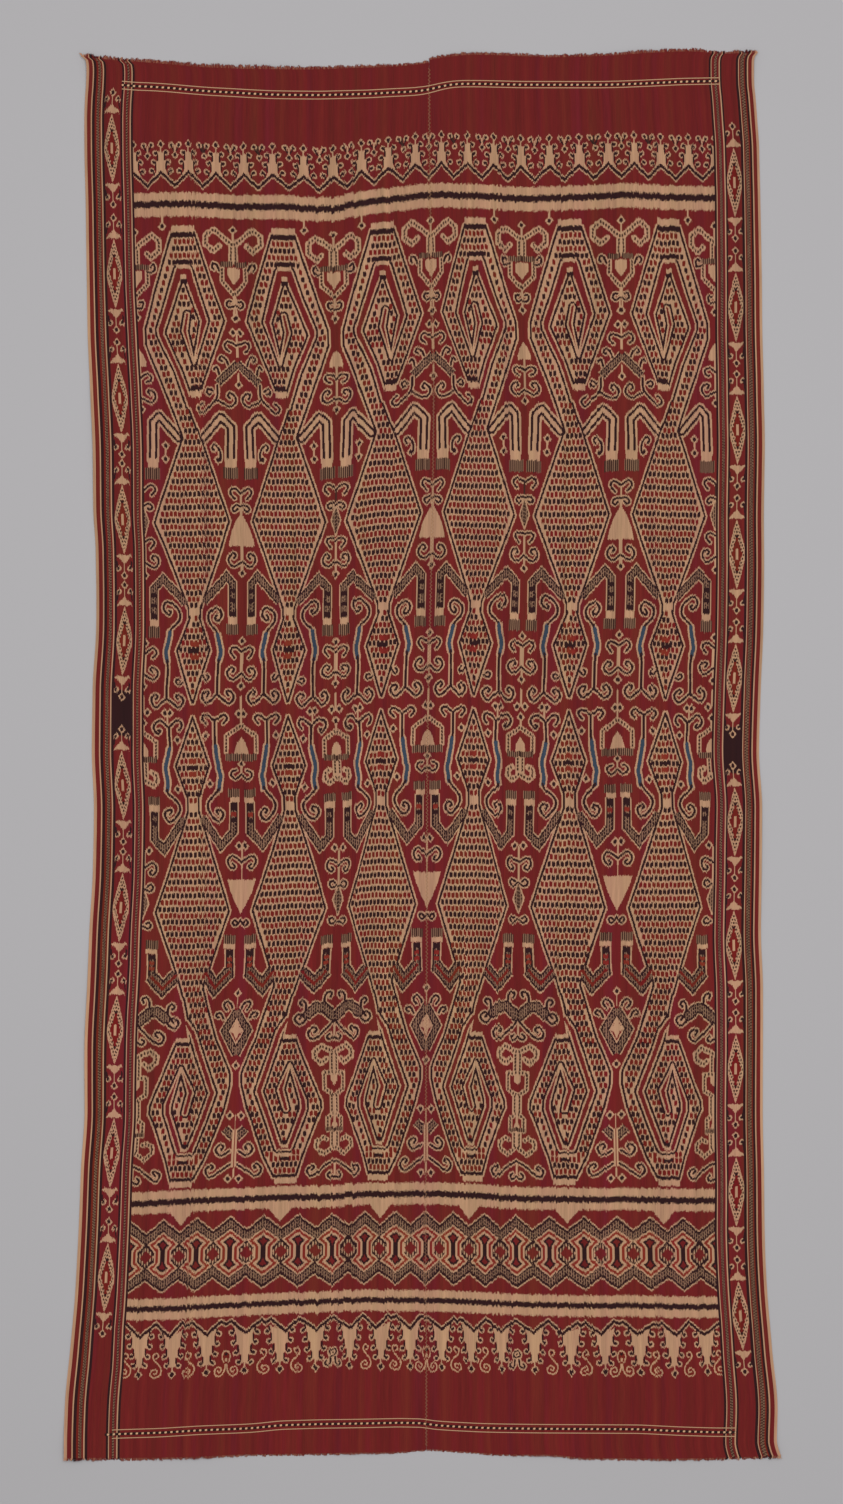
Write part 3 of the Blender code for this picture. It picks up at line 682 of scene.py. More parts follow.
# Plain cream shapes: laid ones, then the right halves of ones on the B axis.
laidPatches = (
    ((227.5, 268), (239.5, 268), (239, 276), (233.7, 285), (228, 276)),
    ((241.3, 514), (236, 522), (232, 532), (230, 540), (229, 546), (246, 546), (246, 514)),
    ((241, 737), (236.5, 743), (234, 752), (234, 754), (245, 754), (245, 737)),
    ((227, 879), (230, 890), (235, 902), (239, 910), (240.5, 914), (246, 914), (246, 879)),
    ((236.5, 1021), (234, 1028), (229.5, 1031.5), (234, 1035), (236.5, 1042), (241, 1042), (241, 1021)),
)
axisPatches = (
    ((-1, 271), (6.5, 271), (6.5, 279), (0, 288), (-1, 288)),
    ((-1, 349), (0, 349), (4, 354.5), (6.7, 362), (6.5, 366.5), (3, 366.5), (-1, 366)),
    ((-1, 742), (0.5, 742), (4.5, 748), (5.3, 757.5), (-1, 757.5)),
    ((-1, 1079), (3.5, 1079), (3.5, 1086), (0, 1090), (-1, 1090)),
    ((-1, 1125), (0, 1125), (3, 1130), (3, 1136), (-1, 1136)),
)

print("Drawing the field's chart")
newChart(-3, 214, 103, 980)
for kind, path in laidStrokes:
    stroke(kind, fromLaid(path))
for kind, path in axisStrokes:
    stroke(kind, path)
for body in bodies:
    channel = body.get("channel", ())
    if channel:
        laid = fromLaid([point[:2] for point in channel])
        channel = [(x, y, half) for (x, y), (_, _, half) in zip(laid, channel)]
    dottedBody(fromLaid(body["outline"]), body["rows"], channel, body.get("lastRows"), body.get("aside", darkRed))
for x, y in laidBeads:
    bead(widthLaid(x, y), y)
for x, y in axisBeads:
    bead(x, y)
for row, halfWidth, halfHeight in axisLozenges:
    place, x, y = window(-2, row - halfHeight - 2, halfWidth + 3, row + halfHeight + 2)
    share = np.abs(x) / halfWidth + np.abs(y - row) / halfHeight
    lay(0, place, share < 1.3, cream)
    lay(1, place, share < 1, hatch(x, y))
for x0, x1, y0, y1, ink in laidBlocks:
    middle = (y0 + y1) / 2
    block(widthLaid(x0, middle), widthLaid(x1, middle), y0, y1, ink)
for x0, x1, y0, y1, ink in axisBlocks:
    block(x0 - 1, x1, y0, y1, ink)
for outline in laidPatches:
    patch(fromLaid(outline), cream)
for outline in axisPatches:
    patch(outline, cream)
fieldChart = inkChart()

# Borders above and below the field. Their columns too are read on the laid cloth, so each is brought back to the
# thread that it lies on.


def threadColumn(x, y):
    """The chart column of a laid column at a row: the share of the way to the selvedge with the crowding undone."""
    down = np.array([np.clip((y - chartTop) * knot, 20, 2320)])
    seam = seamLine + readCurve(seamBow, down)[0] / knot
    panel = panels["left"] if x < seam else panels["right"]
    edge = readCurve(panel["selvedge"], down)[0] / knot
    share = np.linspace(0, 1.05, 400)
    rows, crowding = np.array(panel["crowding"]).T
    crowded = share + np.interp(y, rows, crowding) * share ** 2 * (1 - share)
    column = seamLine + panel["side"] * share * panel["chartWidth"]
    drift = panel["side"] * readTable(drifts, driftColumns, column, np.full(share.shape, float(y)))
    own = np.interp(abs(x - seam), edge * crowded + drift, share)
    return seamLine + panel["side"] * own * panel["chartWidth"]


def mirrored(points, centre=0.0, sign=1):
    """Points given as out from an upright line, put at one side of it."""
    return [(centre + sign * x, y) for x, y in points]


strokeKinds["topZigzag"] = ((0, 2.55, cream), (1, 1.4, black))
strokeKinds["hangingZigzag"] = ((0, 2.5, cream), (1, 1.35, black))
strokeKinds["tail"] = ((2, 0.7, black),)
strokeKinds["hook"] = ((0, 2.3, cream), (1, 0.95, black))
strokeKinds["fine"] = ((2, 0.68, cream),)
strokeKinds["fineShade"] = ((0, 1.9, darkRed),)
strokeKinds["brownStem"] = ((0, 1.3, brown),)
strokeKinds["neck"] = ((0, 0.45, cream),)
rounded = rounded + ("tail", "hook", "fine", "fineShade")

topBorder = {
    "peaks": (133.5, 161, 188.5, 216, 243.5, 272.5, 303.5, 333, 361.5, 388.5, 415.5,
              441.5, 467.5, 494, 521, 549.5, 579.5, 608.5, 634.5, 661, 688.5, 715),
    "valleys": (147.5, 175, 203, 230.5, 258, 289, 319.5, 347.5, 374, 402.5, 429,
                453.5, 482, 508, 534.5, 564.5, 594, 621.5, 648.5, 675.5, 702),
    "peakRow": 172,
    "valleyRow": 185.3,
    "trunk": ((-7.8, 176), (-5.5, 172), (-4.4, 169.5), (-4.3, 160.8), (-2.8, 159.5), (-2.7, 151.5), (2.7, 151.5),
              (2.8, 159.5), (4.3, 160.8), (4.4, 169.5), (5.5, 172), (7.8, 176), (0, 171)),
    "loops": ((5.3, 152.4), (7.1, 161.7), (9.4, 170.5)),
    "tails": (((4.1, 151), (3.5, 153.5), (3.5, 159.5)), ((5.9, 160.6), (5.1, 162.8), (5.1, 168.5)),
              ((8.2, 169.6), (7.4, 171.8), (7, 174.5))),
    # valleys under which a short brown stem with one small loop stands
    "brownStems": (203, 258, 402.5, 453.5, 594, 648.5),
}
# Rows of the hanging border's figures, from the upper zigzag down.
hangingBorder = {
    "peaks": ((126, 1322.5), (156, 1323), (182, 1322.3), (187, 1326), (191.5, 1322.7), (221, 1323.5), (226, 1326.5),
              (232, 1323.5), (262, 1323.5), (266, 1326.8), (271, 1323), (300, 1323.5), (333, 1323.5),
              (363, 1323), (388, 1323), (392, 1326), (396, 1323), (421, 1323), (429, 1325.5), (454, 1325),
              (457, 1327.5), (461, 1325), (486, 1324), (515, 1324.5), (548, 1323.5), (578, 1324.5), (581, 1327.5),
              (585, 1325), (614, 1323), (619, 1326), (623, 1324), (654, 1325), (658, 1327), (662, 1324.5),
              (689, 1323), (722, 1322.5)),
    "valleys": (140, 169.5, 207, 245, 285.5, 316, 349.5, 376, 410.5, 441.5, 474, 500.5, 533.5, 562.5, 601.5, 637.5,
                676.5, 704.5),
    "trunks": (139.5, 172.5, 206.5, 244.5, 280, 315.5, 349.5, 381, 410.5, 441.5, 471, 501.5, 534.5, 571, 605, 640,
               674, 706.5),
    "valleyRow": 1335.5,
    "trunk": ((9.5, 1329), (7.4, 1337), (6.9, 1345.7), (4.9, 1346.7), (4.7, 1355.2), (2.8, 1356.2), (2.6, 1365)),
    "loops": ((11.3, 1335), (9.6, 1344.5), (7.8, 1354.5), (5.4, 1363.7)),
    "tails": (((9.6, 1330), (9.2, 1333.7), (10.6, 1335.7)), ((7.8, 1337.7), (7.7, 1343.2), (9, 1345.2)),
              ((5.8, 1347.7), (5.6, 1353.2), (7, 1355.2)), ((3.6, 1357.2), (3.5, 1362.2), (4.8, 1364.2))),
    # what hangs between the trunks: column, figure and the side that it turns to
    "fillers": ((125, "wave", 1), (155.5, "wave", 1), (188, "wave", 1), (226, "bud", 1), (263.5, "wave", -1),
                (297, "wave", -1), (333, "ring", 1), (365.5, "wave", 1), (395, "wave", 1), (426.5, "bud", 1),
                (456.5, "wave", -1), (485.5, "wave", -1), (517, "ring", 1), (552, "wave", 1), (586, "wave", 1),
                (622, "bud", 1), (657, "wave", -1), (690, "wave", -1), (720, "wave", -1)),
}


def fineLine(points, c, sign=1):
    """A fine cream line over a wider dark red one."""
    stroke("fineShade", mirrored(points, c, sign))
    stroke("fine", mirrored(points, c, sign))


def wave(c, sign):
    """A small curl above, a larger spiral below, joined by a slanting line."""
    fineLine(((0.5, 1356.8), (2.8, 1355), (2.3, 1352.2), (-0.4, 1351.2), (-2.7, 1353.4), (-2.5, 1357.2), (2, 1362.2),
              (5.4, 1366), (5.8, 1371), (3.2, 1375), (-1.6, 1376), (-5, 1373.2), (-4.2, 1369.2), (-0.6, 1367),
              (2.2, 1369.4), (0.9, 1372.2), (-1.4, 1371.4)), c, sign)
    disc(c, 1354.3, 1.1, black, 3)


def bud(c, sign):
    """A long ring with a core, over two spirals."""
    ring = ((0, 1351.3), (2.4, 1352.3), (4, 1355), (4.2, 1358.8), (3.2, 1362.8), (1.6, 1365), (0, 1365.6),
            (-1.6, 1365), (-3.2, 1362.8), (-4.2, 1358.8), (-4, 1355), (-2.4, 1352.3), (0, 1351.3))
    patch(mirrored(ring, c), cream, 0)
    patch([(c + x * 0.72, 1358.8 + (y - 1358.8) * 0.8) for x, y in ring], darkRed, 1)
    disc(c, 1355.3, 1.5, black, 2)
    dot(c, 1361, 1.0, 1.8, cream, 2)
    stroke("brownStem", ((c, 1365), (c, 1371)))
    for side in (-1, 1):
        fineLine(((0.6, 1365.5), (1, 1371.5), (4, 1377), (8.6, 1377), (10.8, 1372.5), (9, 1368), (5.4, 1367.8),
                  (3.8, 1371), (6, 1373.8), (7.4, 1371.6)), c, side)


def ring(c, sign):
    """A round bead over two small curls that turn outwards."""
    disc(c, 1358.5, 5.5, cream, 0)
    disc(c, 1358.5, 4.1, black, 1)
    disc(c, 1358.5, 2.6, cream, 2)
    disc(c, 1358.5, 1.1, brown, 3)
    for side in (-1, 1):
        stroke("hook", mirrored(((2.2, 1364), (2.4, 1369.5), (5.2, 1372.3), (8, 1369.7), (6.4, 1367.3)), c, side))


def withLoops(border, c):
    """The curls at both sides of a trunk: round ends, and the dark tails that lead to them."""
    for side in (-1, 1):
        for out, row in border["loops"]:
            loop(c + side * out, row)
        for tail in border["tails"]:
            stroke("tail", mirrored(tail, c, side))


print("Drawing the borders' charts")
newChart(120, 134, 610, 58)
zigzag = sorted([(threadColumn(x, 170), topBorder["peakRow"]) for x in topBorder["peaks"]]
                + [(threadColumn(x, 180), topBorder["valleyRow"]) for x in topBorder["valleys"]])
stroke("topZigzag", zigzag)
for x in topBorder["peaks"]:
    c = threadColumn(x, 160)
    patch(mirrored(topBorder["trunk"], c), cream, 0)
    block(c - 0.6, c + 0.6, 147, 151.5, cream, 0)
    bead(c, 143.8, 3.5, 4.2, 1.8)
    withLoops(topBorder, c)
for x in topBorder["valleys"]:
    c = threadColumn(x, 150)
    if x in topBorder["brownStems"]:
        stroke("brownStem", ((c - 0.6, 144), (c - 0.6, 149), (c + 0.8, 152)))
        loop(c + 1.2, 155, 1.5)
    else:
        stroke("stem", ((c, 146), (c, 151)))
        bead(c, 155, 3.4, 3.9, 1.7)
    for side in (-1, 1):
        loop(c + side * 3.8, 144.6, 1.5)
        stroke("tail", mirrored(((3.8, 144.6), (2.6, 148), (1.2, 150)), c, side))
topChart = inkChart()

newChart(115, 1320, 620, 64)
zigzag = [(threadColumn(x, 1325), y) for x, y in hangingBorder["peaks"]]
zigzag = sorted(zigzag + [(threadColumn(x, 1330), hangingBorder["valleyRow"]) for x in hangingBorder["valleys"]])
stroke("hangingZigzag", zigzag)
for valley, trunk in zip(hangingBorder["valleys"], hangingBorder["trunks"]):
    v, c = threadColumn(valley, 1330), threadColumn(trunk, 1345)
    right = [(c + x, y) for x, y in hangingBorder["trunk"]]
    left = [(c - x, y) for x, y in hangingBorder["trunk"]]
    patch([(v, 1335.5)] + right + left[::-1], cream, 0)
    block(c - 0.6, c + 0.6, 1365, 1369, cream, 0)
    bead(c, 1372.4, 3.8, 4.3, 2.0)
    withLoops(hangingBorder, c)
for x, figure, sign in hangingBorder["fillers"]:
    {"wave": wave, "bud": bud, "ring": ring}[figure](threadColumn(x, 1365), sign)
hangingChart = inkChart()

spoolBand = {
    "spools": (129, 162.5, 196, 229.5, 263, 298, 332, 364.5, 395.5, 425.5, 453, 484.5, 516, 549.5, 584.5, 617, 650,
               683, 716.5),
    "top": (1217.5, 1231),
    "bottom": (1293, 1280.3),
    "spool": ((0, 1231), (15.3, 1243), (8.3, 1250.5), (8.3, 1260.5), (15.3, 1267), (0, 1280.3)),
    # from the outline inwards: depth and ink
    "layers": ((0, cream), (1.6, brick), (4.0, cream), (6.1, black)),
    "middleRow": 1255.5,
}
newChart(100, 1208, 650, 92)
columns = [threadColumn(x, 1255) for x in spoolBand["spools"]]
columns = [2 * columns[0] - columns[1]] + columns + [2 * columns[-1] - columns[-2]]
between = [(a + b) / 2 for a, b in zip(columns[:-1], columns[1:])]
place, x, y = window(100, 1209, 750, 1299)
stations = np.sort(np.array(columns + between))
upper = np.interp(x, stations, [spoolBand["top"][i % 2] for i in range(len(stations))])
lower = np.interp(x, stations, [spoolBand["bottom"][i % 2] for i in range(len(stations))])
within = np.minimum(y - upper, lower - y)
lay(0, place, within > 0, cream)
lay(0, place, within > 1.6, black)
lay(0, place, within > 4.4, hatch(x, y, dark=black))
lay(0, place, within > 11.7, black)
for c in between:
    place, x, y = window(c - 14, 1238, c + 14, 1272)
    serrated = 0.12 * (np.floor(y / 1.9) % 2)
    lay(1, place, np.abs(x - c) / 9.5 + np.abs(y - spoolBand["middleRow"]) / 11 < 1 - serrated,
        np.broadcast_to(np.where(x % 2.6 < 1.3, cream, brown), np.broadcast(x, y).shape))
    lay(1, place, np.abs(x - c) / 6 + np.abs(y - spoolBand["middleRow"]) / 7 < 1, red)
for c in columns:
    half = spoolBand["spool"]
    outline = np.array(mirrored(half, c) + mirrored(half[4:0:-1], c, -1))
    place, x, y = window(c - 18, 1228, c + 18, 1283)
    distance = outlineDistance(outline, x, y)
    for depth, ink in spoolBand["layers"]:
        lay(2, place, distance < -depth, ink)
    lay(2, place, (distance < -8) & (np.abs(y - spoolBand["middleRow"]) > 6.5), red)
spoolChart = inkChart()

sideStrips = {
    "left": {"centres": (148.5, 274, 398.5, 519.5, 641, 785.5, 907.5, 1030, 1153, 1277.5), "block": (690, 736)},
    "right": {"centres": (182.5, 307, 430, 554, 678, 821.5, 945, 1068.5, 1191.5, 1315.5), "block": (727, 773)},
}


def stripChart(strip):
    """The figures of a side strip: long speckled lozenges, each between two cups with curls and a bead."""
    newChart(-11, 60, 22, 1360)
    place, x, y = window(-11, strip["block"][0], 11, strip["block"][1])
    lay(0, place, np.ones(np.broadcast(x, y).shape, bool), black)
    for c in strip["centres"]:
        half = ((0, -35), (3, -25), (6.6, -10), (8, -3), (8, 3), (6.6, 10), (3, 25), (0, 35))
        outline = np.array([(x, c + y) for x, y in half] + [(-x, c + y) for x, y in half[-2:0:-1]])
        place, x, y = window(-10, c - 38, 10, c + 38)
        distance = outlineDistance(outline, x, y)
        # the speckle: brown dots in rows 3.4 apart, every other row half a pitch aside
        row = np.floor((y - c) / 3.4)
        aside = (x + 1.3 * (row % 2)) / 2.6 % 1 - 0.5
        down = (y - c) / 3.4 % 1 - 0.5
        lay(1, place, distance < 0, cream)
        lay(1, place, (distance < -0.9) & ((aside / 0.34) ** 2 + (down / 0.34) ** 2 < 1), brown)
        core = ((0, -20), (1.6, -16), (1.2, -13), (2.6, -10.5), (2.2, -8), (4, -6), (3.6, -4), (5.2, -1.5))
        core = core + tuple((x, -y) for x, y in core[::-1])
        coreOutline = np.array([(x, c + y) for x, y in core] + [(-x, c + y) for x, y in core[-2:0:-1]])
        lay(1, place, outlineDistance(coreOutline, x, y) < 0, darkRed)
        block(-1.3, 1.3, c - 5.5, c + 5.5, cream)
        for side in (-1, 1):
            disc(0, c + side * 17.5, 1.3, black, 2)
            cup = ((-8, 35.6), (8, 35.6), (7.4, 37), (3.4, 40.6), (0.6, 44), (-0.6, 44), (-3.4, 40.6), (-7.4, 37))
            patch([(cx, c + side * cy) for cx, cy in cup], cream)
            stroke("neck", ((0, c + side * 43), (0, c + side * 53)))
            bead(0, c + side * 56, 3.5, 4.2, 1.7)
            for hand in (-1, 1):
                disc(hand * 5.8, c + side * 49.2, 2.8, cream, 0)
                disc(hand * 6, c + side * 49.2, 1.5, black, 3)
                stroke("tail", [(hand * cx, c + side * cy) for cx, cy in ((7.6, 41.5), (7.2, 46), (6.4, 49))])
    return inkChart()


stripCharts = {name: stripChart(strip) for name, strip in sideStrips.items()}

# Colouring the warp

# Where each tied row of the dyed bundles has slipped along the warp: rows down, columns across, in knots.
slipColumns = (92, 140, 192, 241, 289, 312, 334, 352, 382, 430, 478, 525, 570, 618, 664, 714, 762)
slips = {
    190: (1.2, 1.2, 0, 2.8, 2.9, 5, 5.2, 1.3, -3.2, -8.8, -8, -5, -5.8, -8.8, -7, -5.5, -5.5),
    217: (1.2, 1.2, 0, 2.8, 3.1, 5, 5.2, 1.3, -3.2, -8.8, -8, -5, -5.8, -8.8, -7, -5.5, -5.5),
    240: (0, 0, 0, 0, 3.2, 3.5, 1.5, 0, -3, -9.8, -8, -9, -5.5, -9, -5, -6, -6),
    300: (0, 0, 0, 0.2, 2.5, 2.5, 1, -1, -4.3, -8.3, -9, -7, -7, -7.8, -6.3, -5.5, -5.5),
    345: (0, 0, 0.4, 0, 2, 1.8, 1, -1, -4.5, -9.5, -8, -6.8, -6, -8.6, -6, -5.5, -5.5),
    410: (0, 0.2, 1, 0.2, 2.3, 2, 0, -2, -5.5, -10, -8.3, -8, -5.4, -8.8, -6.3, -6, -6),
    450: (0, 0, 0.7, 0.8, 1.4, 1, -0.4, -2, -5, -9.1, -7.8, -7.4, -5, -8, -5.8, -6, -6),
    521: (1.8, 1.8, 1, 0, 1.2, 1, 0.5, -1.5, -5.8, -9, -7.4, -5.5, -4.5, -7.3, -5.1, -4.3, -4.3),
    610: (0, 0.2, 0.2, 0.5, -0.3, -0.5, -1.5, -2.5, -5.5, -8.3, -7.5, -6.3, -5, -6, -5, -5, -5),
    655: (1.5, 1.8, 0.8, 0, 0, -0.5, -0.5, -2.5, -5.5, -9.4, -7.3, -5.5, -4.2, -6.2, -4.3, -4, -4),
    700: (0.5, 0.9, 0.4, 0.2, -0.3, -1.5, -2.8, -4.5, -5.8, -8.4, -7.8, -5.3, -4.8, -6, -4.6, -4.4, -4.4),
    750: (1, 1.4, 0.2, 0.2, -1, -1, -0.5, -3, -6.4, -8.8, -7.7, -4, -4.5, -5.4, -4.6, -3, -3),
    803: (0, 0.3, 1, -0.5, -0.8, -2.5, -4, -5, -5.9, -8, -6.8, -6, -4, -5, -3.6, -4, -4),
    850: (0.5, 1, 0.4, 1, -2, -2.5, -2, -4, -7, -7.2, -7.2, -4.5, -4, -3.2, -3.7, -5, -5),
    905: (0.5, 1, 0.7, 0.1, -2.8, -3.2, -3.8, -5, -7, -7, -6.9, -5, -3.4, -2.9, -3.3, -3.9, -3.9),
    950: (1, 1, 0.8, -1, -2.5, -4, -5.6, -5.8, -6, -8, -5.9, -6, -2.9, -3.9, -2.7, -4, -4),
    1040: (0.5, 1, 0.9, -1.5, -2.7, -4, -4.9, -5.8, -6.3, -6.6, -5.8, -4.2, -3, -3, -2.4, -2, -2),
    1100: (0.5, 1, 0, -2, -4, -5, -6, -6.5, -7.8, -9, -6.8, -5, -3, -2.7, -2.5, -4, -4),
    1175: (1.5, 2, 0.5, -1, -3.7, -4.3, -4.8, -5.8, -7, -7.3, -6, -3.3, -2.2, -1.5, -1.8, -1, -1),
    1200: (3.2, 3.2, 0.5, -2.2, -3.8, -4.3, -4.7, -6.3, -7.1, -7.6, -5.9, -2.8, -1.5, -1.8, -1.2, -0.2, -0.2),
    1308: (1.4, 1.4, 0.7, -2.9, -5, -6, -7.2, -7.5, -7.9, -7.4, -6.1, -4, -2.4, -2.3, -1.7, -1, -1),
    1325: (1.5, 1.5, 0.9, -2.6, -4.6, -5.8, -7.2, -7.4, -7.5, -6.8, -5.4, -4.1, -1.9, -2, -1, -1, -1),
    1350: (2.1, 2.1, 2, -1.6, -3.4, -5, -7, -7, -6.7, -5.8, -3.9, -4.2, -0.4, -1.1, 0.9, -1, -1),
}


# Plain bands over the whole field: first row, last row and ink.
plainBands = ((192.2, 200.7, cream), (200.5, 207.2, black), (207.2, 216.2, cream),
              (1189.7, 1198, cream), (1198, 1204.2, black), (1204.2, 1211.7, cream),
              (1297.5, 1305, cream), (1305, 1310.6, black), (1310.6, 1318.6, cream))
pendants = (181, 280, 380, 469, 567, 664)
fieldAxes = (143.7, 241, 334.5, 429, 524, 618, 713.5)

# Warp stripes beside the field: the chart column where each starts, and its ink, from the selvedge in on the left
# panel and from the field out on the right. "speckled" is two colours wound together.
warpStripes = {
    "left": ((90, cream), (95.3, red), (99.4, cream), (100.6, black), (103.6, darkRed), (105.6, "speckled"), (108.6, darkRed),
             (110.4, cream), (111.5, black), (113.9, "strip"), (130.9, black), (133, cream), (134, red),
             (136.3, "speckled"), (138.7, red), (140.7, cream), (141.7, black), (144.1, "field")),
    "right": ((429, "field"), (714, black), (716.2, cream), (717.2, red), (719.7, "speckled"), (722.3, red),
              (724.5, cream), (725.5, black), (727.5, "strip"), (742.3, black), (744.4, cream), (745.4, darkRed),
              (746.6, "speckled"), (750.2, darkRed), (751.4, black), (753.8, cream), (754.8, red), (758.6, cream)),
}
stripMiddle = {"left": 122.0, "right": 734.8}


def warpInks(name, panel):
    """Ink numbers for every pick of every thread of a panel, picks down and threads out from the seam."""
    threads = cloth["cellsAcross"] * cloth["threadsPerCell"]
    picks = cloth["cellsAlong"] * cloth["picksPerCell"]
    s = ((np.arange(threads) + 0.5) / threads)[None, :]
    t = ((np.arange(picks) + 0.5) / picks)[:, None]
    _, down = panelPlaces(panel, s, t)
    y = chartTop + down / knot
    x = seamLine + panel["side"] * s * panel["chartWidth"]
    x = np.broadcast_to(x, y.shape)
    laid = y
    y = y - readTable(slips, slipColumns, x, y)
    # Bundles of threads tied together slip a little more, and each thread by itself, so edges are feathered.
    chance = np.random.RandomState(11 + panel["side"])
    knots = np.linspace(0, 1, 30)
    feather = np.zeros(y.shape)
    for size, reach in ((5, 0.35), (1, 0.45)):
        groups = -(-threads // size)
        drift = chance.normal(0, reach, (knots.size, groups)) * 0.5 + chance.normal(0, reach, groups)
        place = t[:, 0] * (knots.size - 1)
        low = np.minimum(place.astype(int), knots.size - 2)
        share = (place - low)[:, None]
        smooth = drift[low] * (1 - share) + drift[low + 1] * share
        feather += np.repeat(smooth, size, axis=1)[:, :threads]
    y, laid = y + feather, laid + feather

    inks = np.full(y.shape, red, np.int8)
    segment = np.clip(np.searchsorted(fieldAxes, x[0]) - 1, 0, len(fieldAxes) - 2)
    axes = np.array(fieldAxes)
    share = (x[0] - axes[segment]) / (axes[segment + 1] - axes[segment])
    folded = repeatWidth * np.where(segment % 2 == 0, share, 1 - share)
    field = readChart(fieldChart, np.broadcast_to(folded, y.shape), y)
    np.copyto(inks, field, where=(y > 216) & (y < 1190))
    for drawn, first, last in ((topChart, 134, 190), (spoolChart, 1208, 1297), (hangingChart, 1320, 1383)):
        np.copyto(inks, readChart(drawn, x, y).astype(np.int8), where=(y > first) & (y < last))
    ragged = y + 0.3 * feather
    for first, last, ink in plainBands:
        inks[(ragged >= first) & (ragged < last)] = ink
    for c in pendants:
        inks[(y > 1211) & (np.abs(x - threadColumn(c, 1215)) / 11.4 + (y - 1211) / 14 < 1)] = cream

    outside = np.zeros(threads, bool)
    starts = warpStripes[name]
    for i, (start, ink) in enumerate(starts):
        end = starts[i + 1][0] if i + 1 < len(starts) else 1e4
        stripe = (x[0] >= start) & (x[0] < end)
        if ink == "field":
            continue
        if ink == "strip":
            drawn = readChart(stripCharts[name], x[:, stripe] - stripMiddle[name], laid[:, stripe])
            inks[:, stripe] = drawn
        elif ink == "speckled":
            turn = (np.floor(y[:, stripe] / 1.4) + np.floor(x[:, stripe] / 1.2)) % 2
            inks[:, stripe] = np.where((turn == 0) & (x[:, stripe] % 1.2 < 0.75), tan, brown)
        else:
            inks[:, stripe] = ink
    return inks


def gridFaces(rows, columns):
    """Corner numbers of the quads of a grid of points, rows * columns, wound one way."""
    corner = (np.arange(rows - 1)[:, None] * columns + np.arange(columns - 1)).ravel()
    return np.stack([corner, corner + columns, corner + columns + 1, corner + 1], axis=1)


def newPiece(name, points, faces, material):
    """A mesh object from arrays of points and faces."""
    mesh = bpy.data.meshes.new(name)
    mesh.from_pydata(points.reshape(-1, 3), [], faces.tolist())
    mesh.materials.append(material)
    piece = bpy.data.objects.new(name, mesh)
    bpy.context.scene.collection.objects.link(piece)
    return piece


def addNode(tree, kind, settings=(), **links):
    """Adds a node, sets its properties, and links or sets its inputs by name or by number after an underscore."""
    node = tree.nodes.new(kind)
    for key, value in dict(settings).items():
        setattr(node, key, value)
    for key, value in links.items():
        socket = node.inputs[int(key[1:])] if key.startswith("_") else node.inputs[key.replace("__", " ")]
        if isinstance(value, bpy.types.NodeSocket):
            tree.links.new(value, socket)
        else:
            socket.default_value = value
    return node


def math(tree, operation, *values):
    """A Math node's result."""
    node = addNode(tree, "ShaderNodeMath", {"operation": operation}, **{f"_{i}": v for i, v in enumerate(values)})
    return node.outputs[0]


# Warp-dyed cotton: matt, warm reds from madder and morinda, cream where the resist kept the dye off.
dyes = {
    red: "#6a1819",
    darkRed: "#6c1610",
    black: "#2b0f11",
    cream: "#b3886a",
    tan: "#8a6650",
    blue: "#34404f",
    brown: "#3d2219",
    brick: "#7c241a",
}


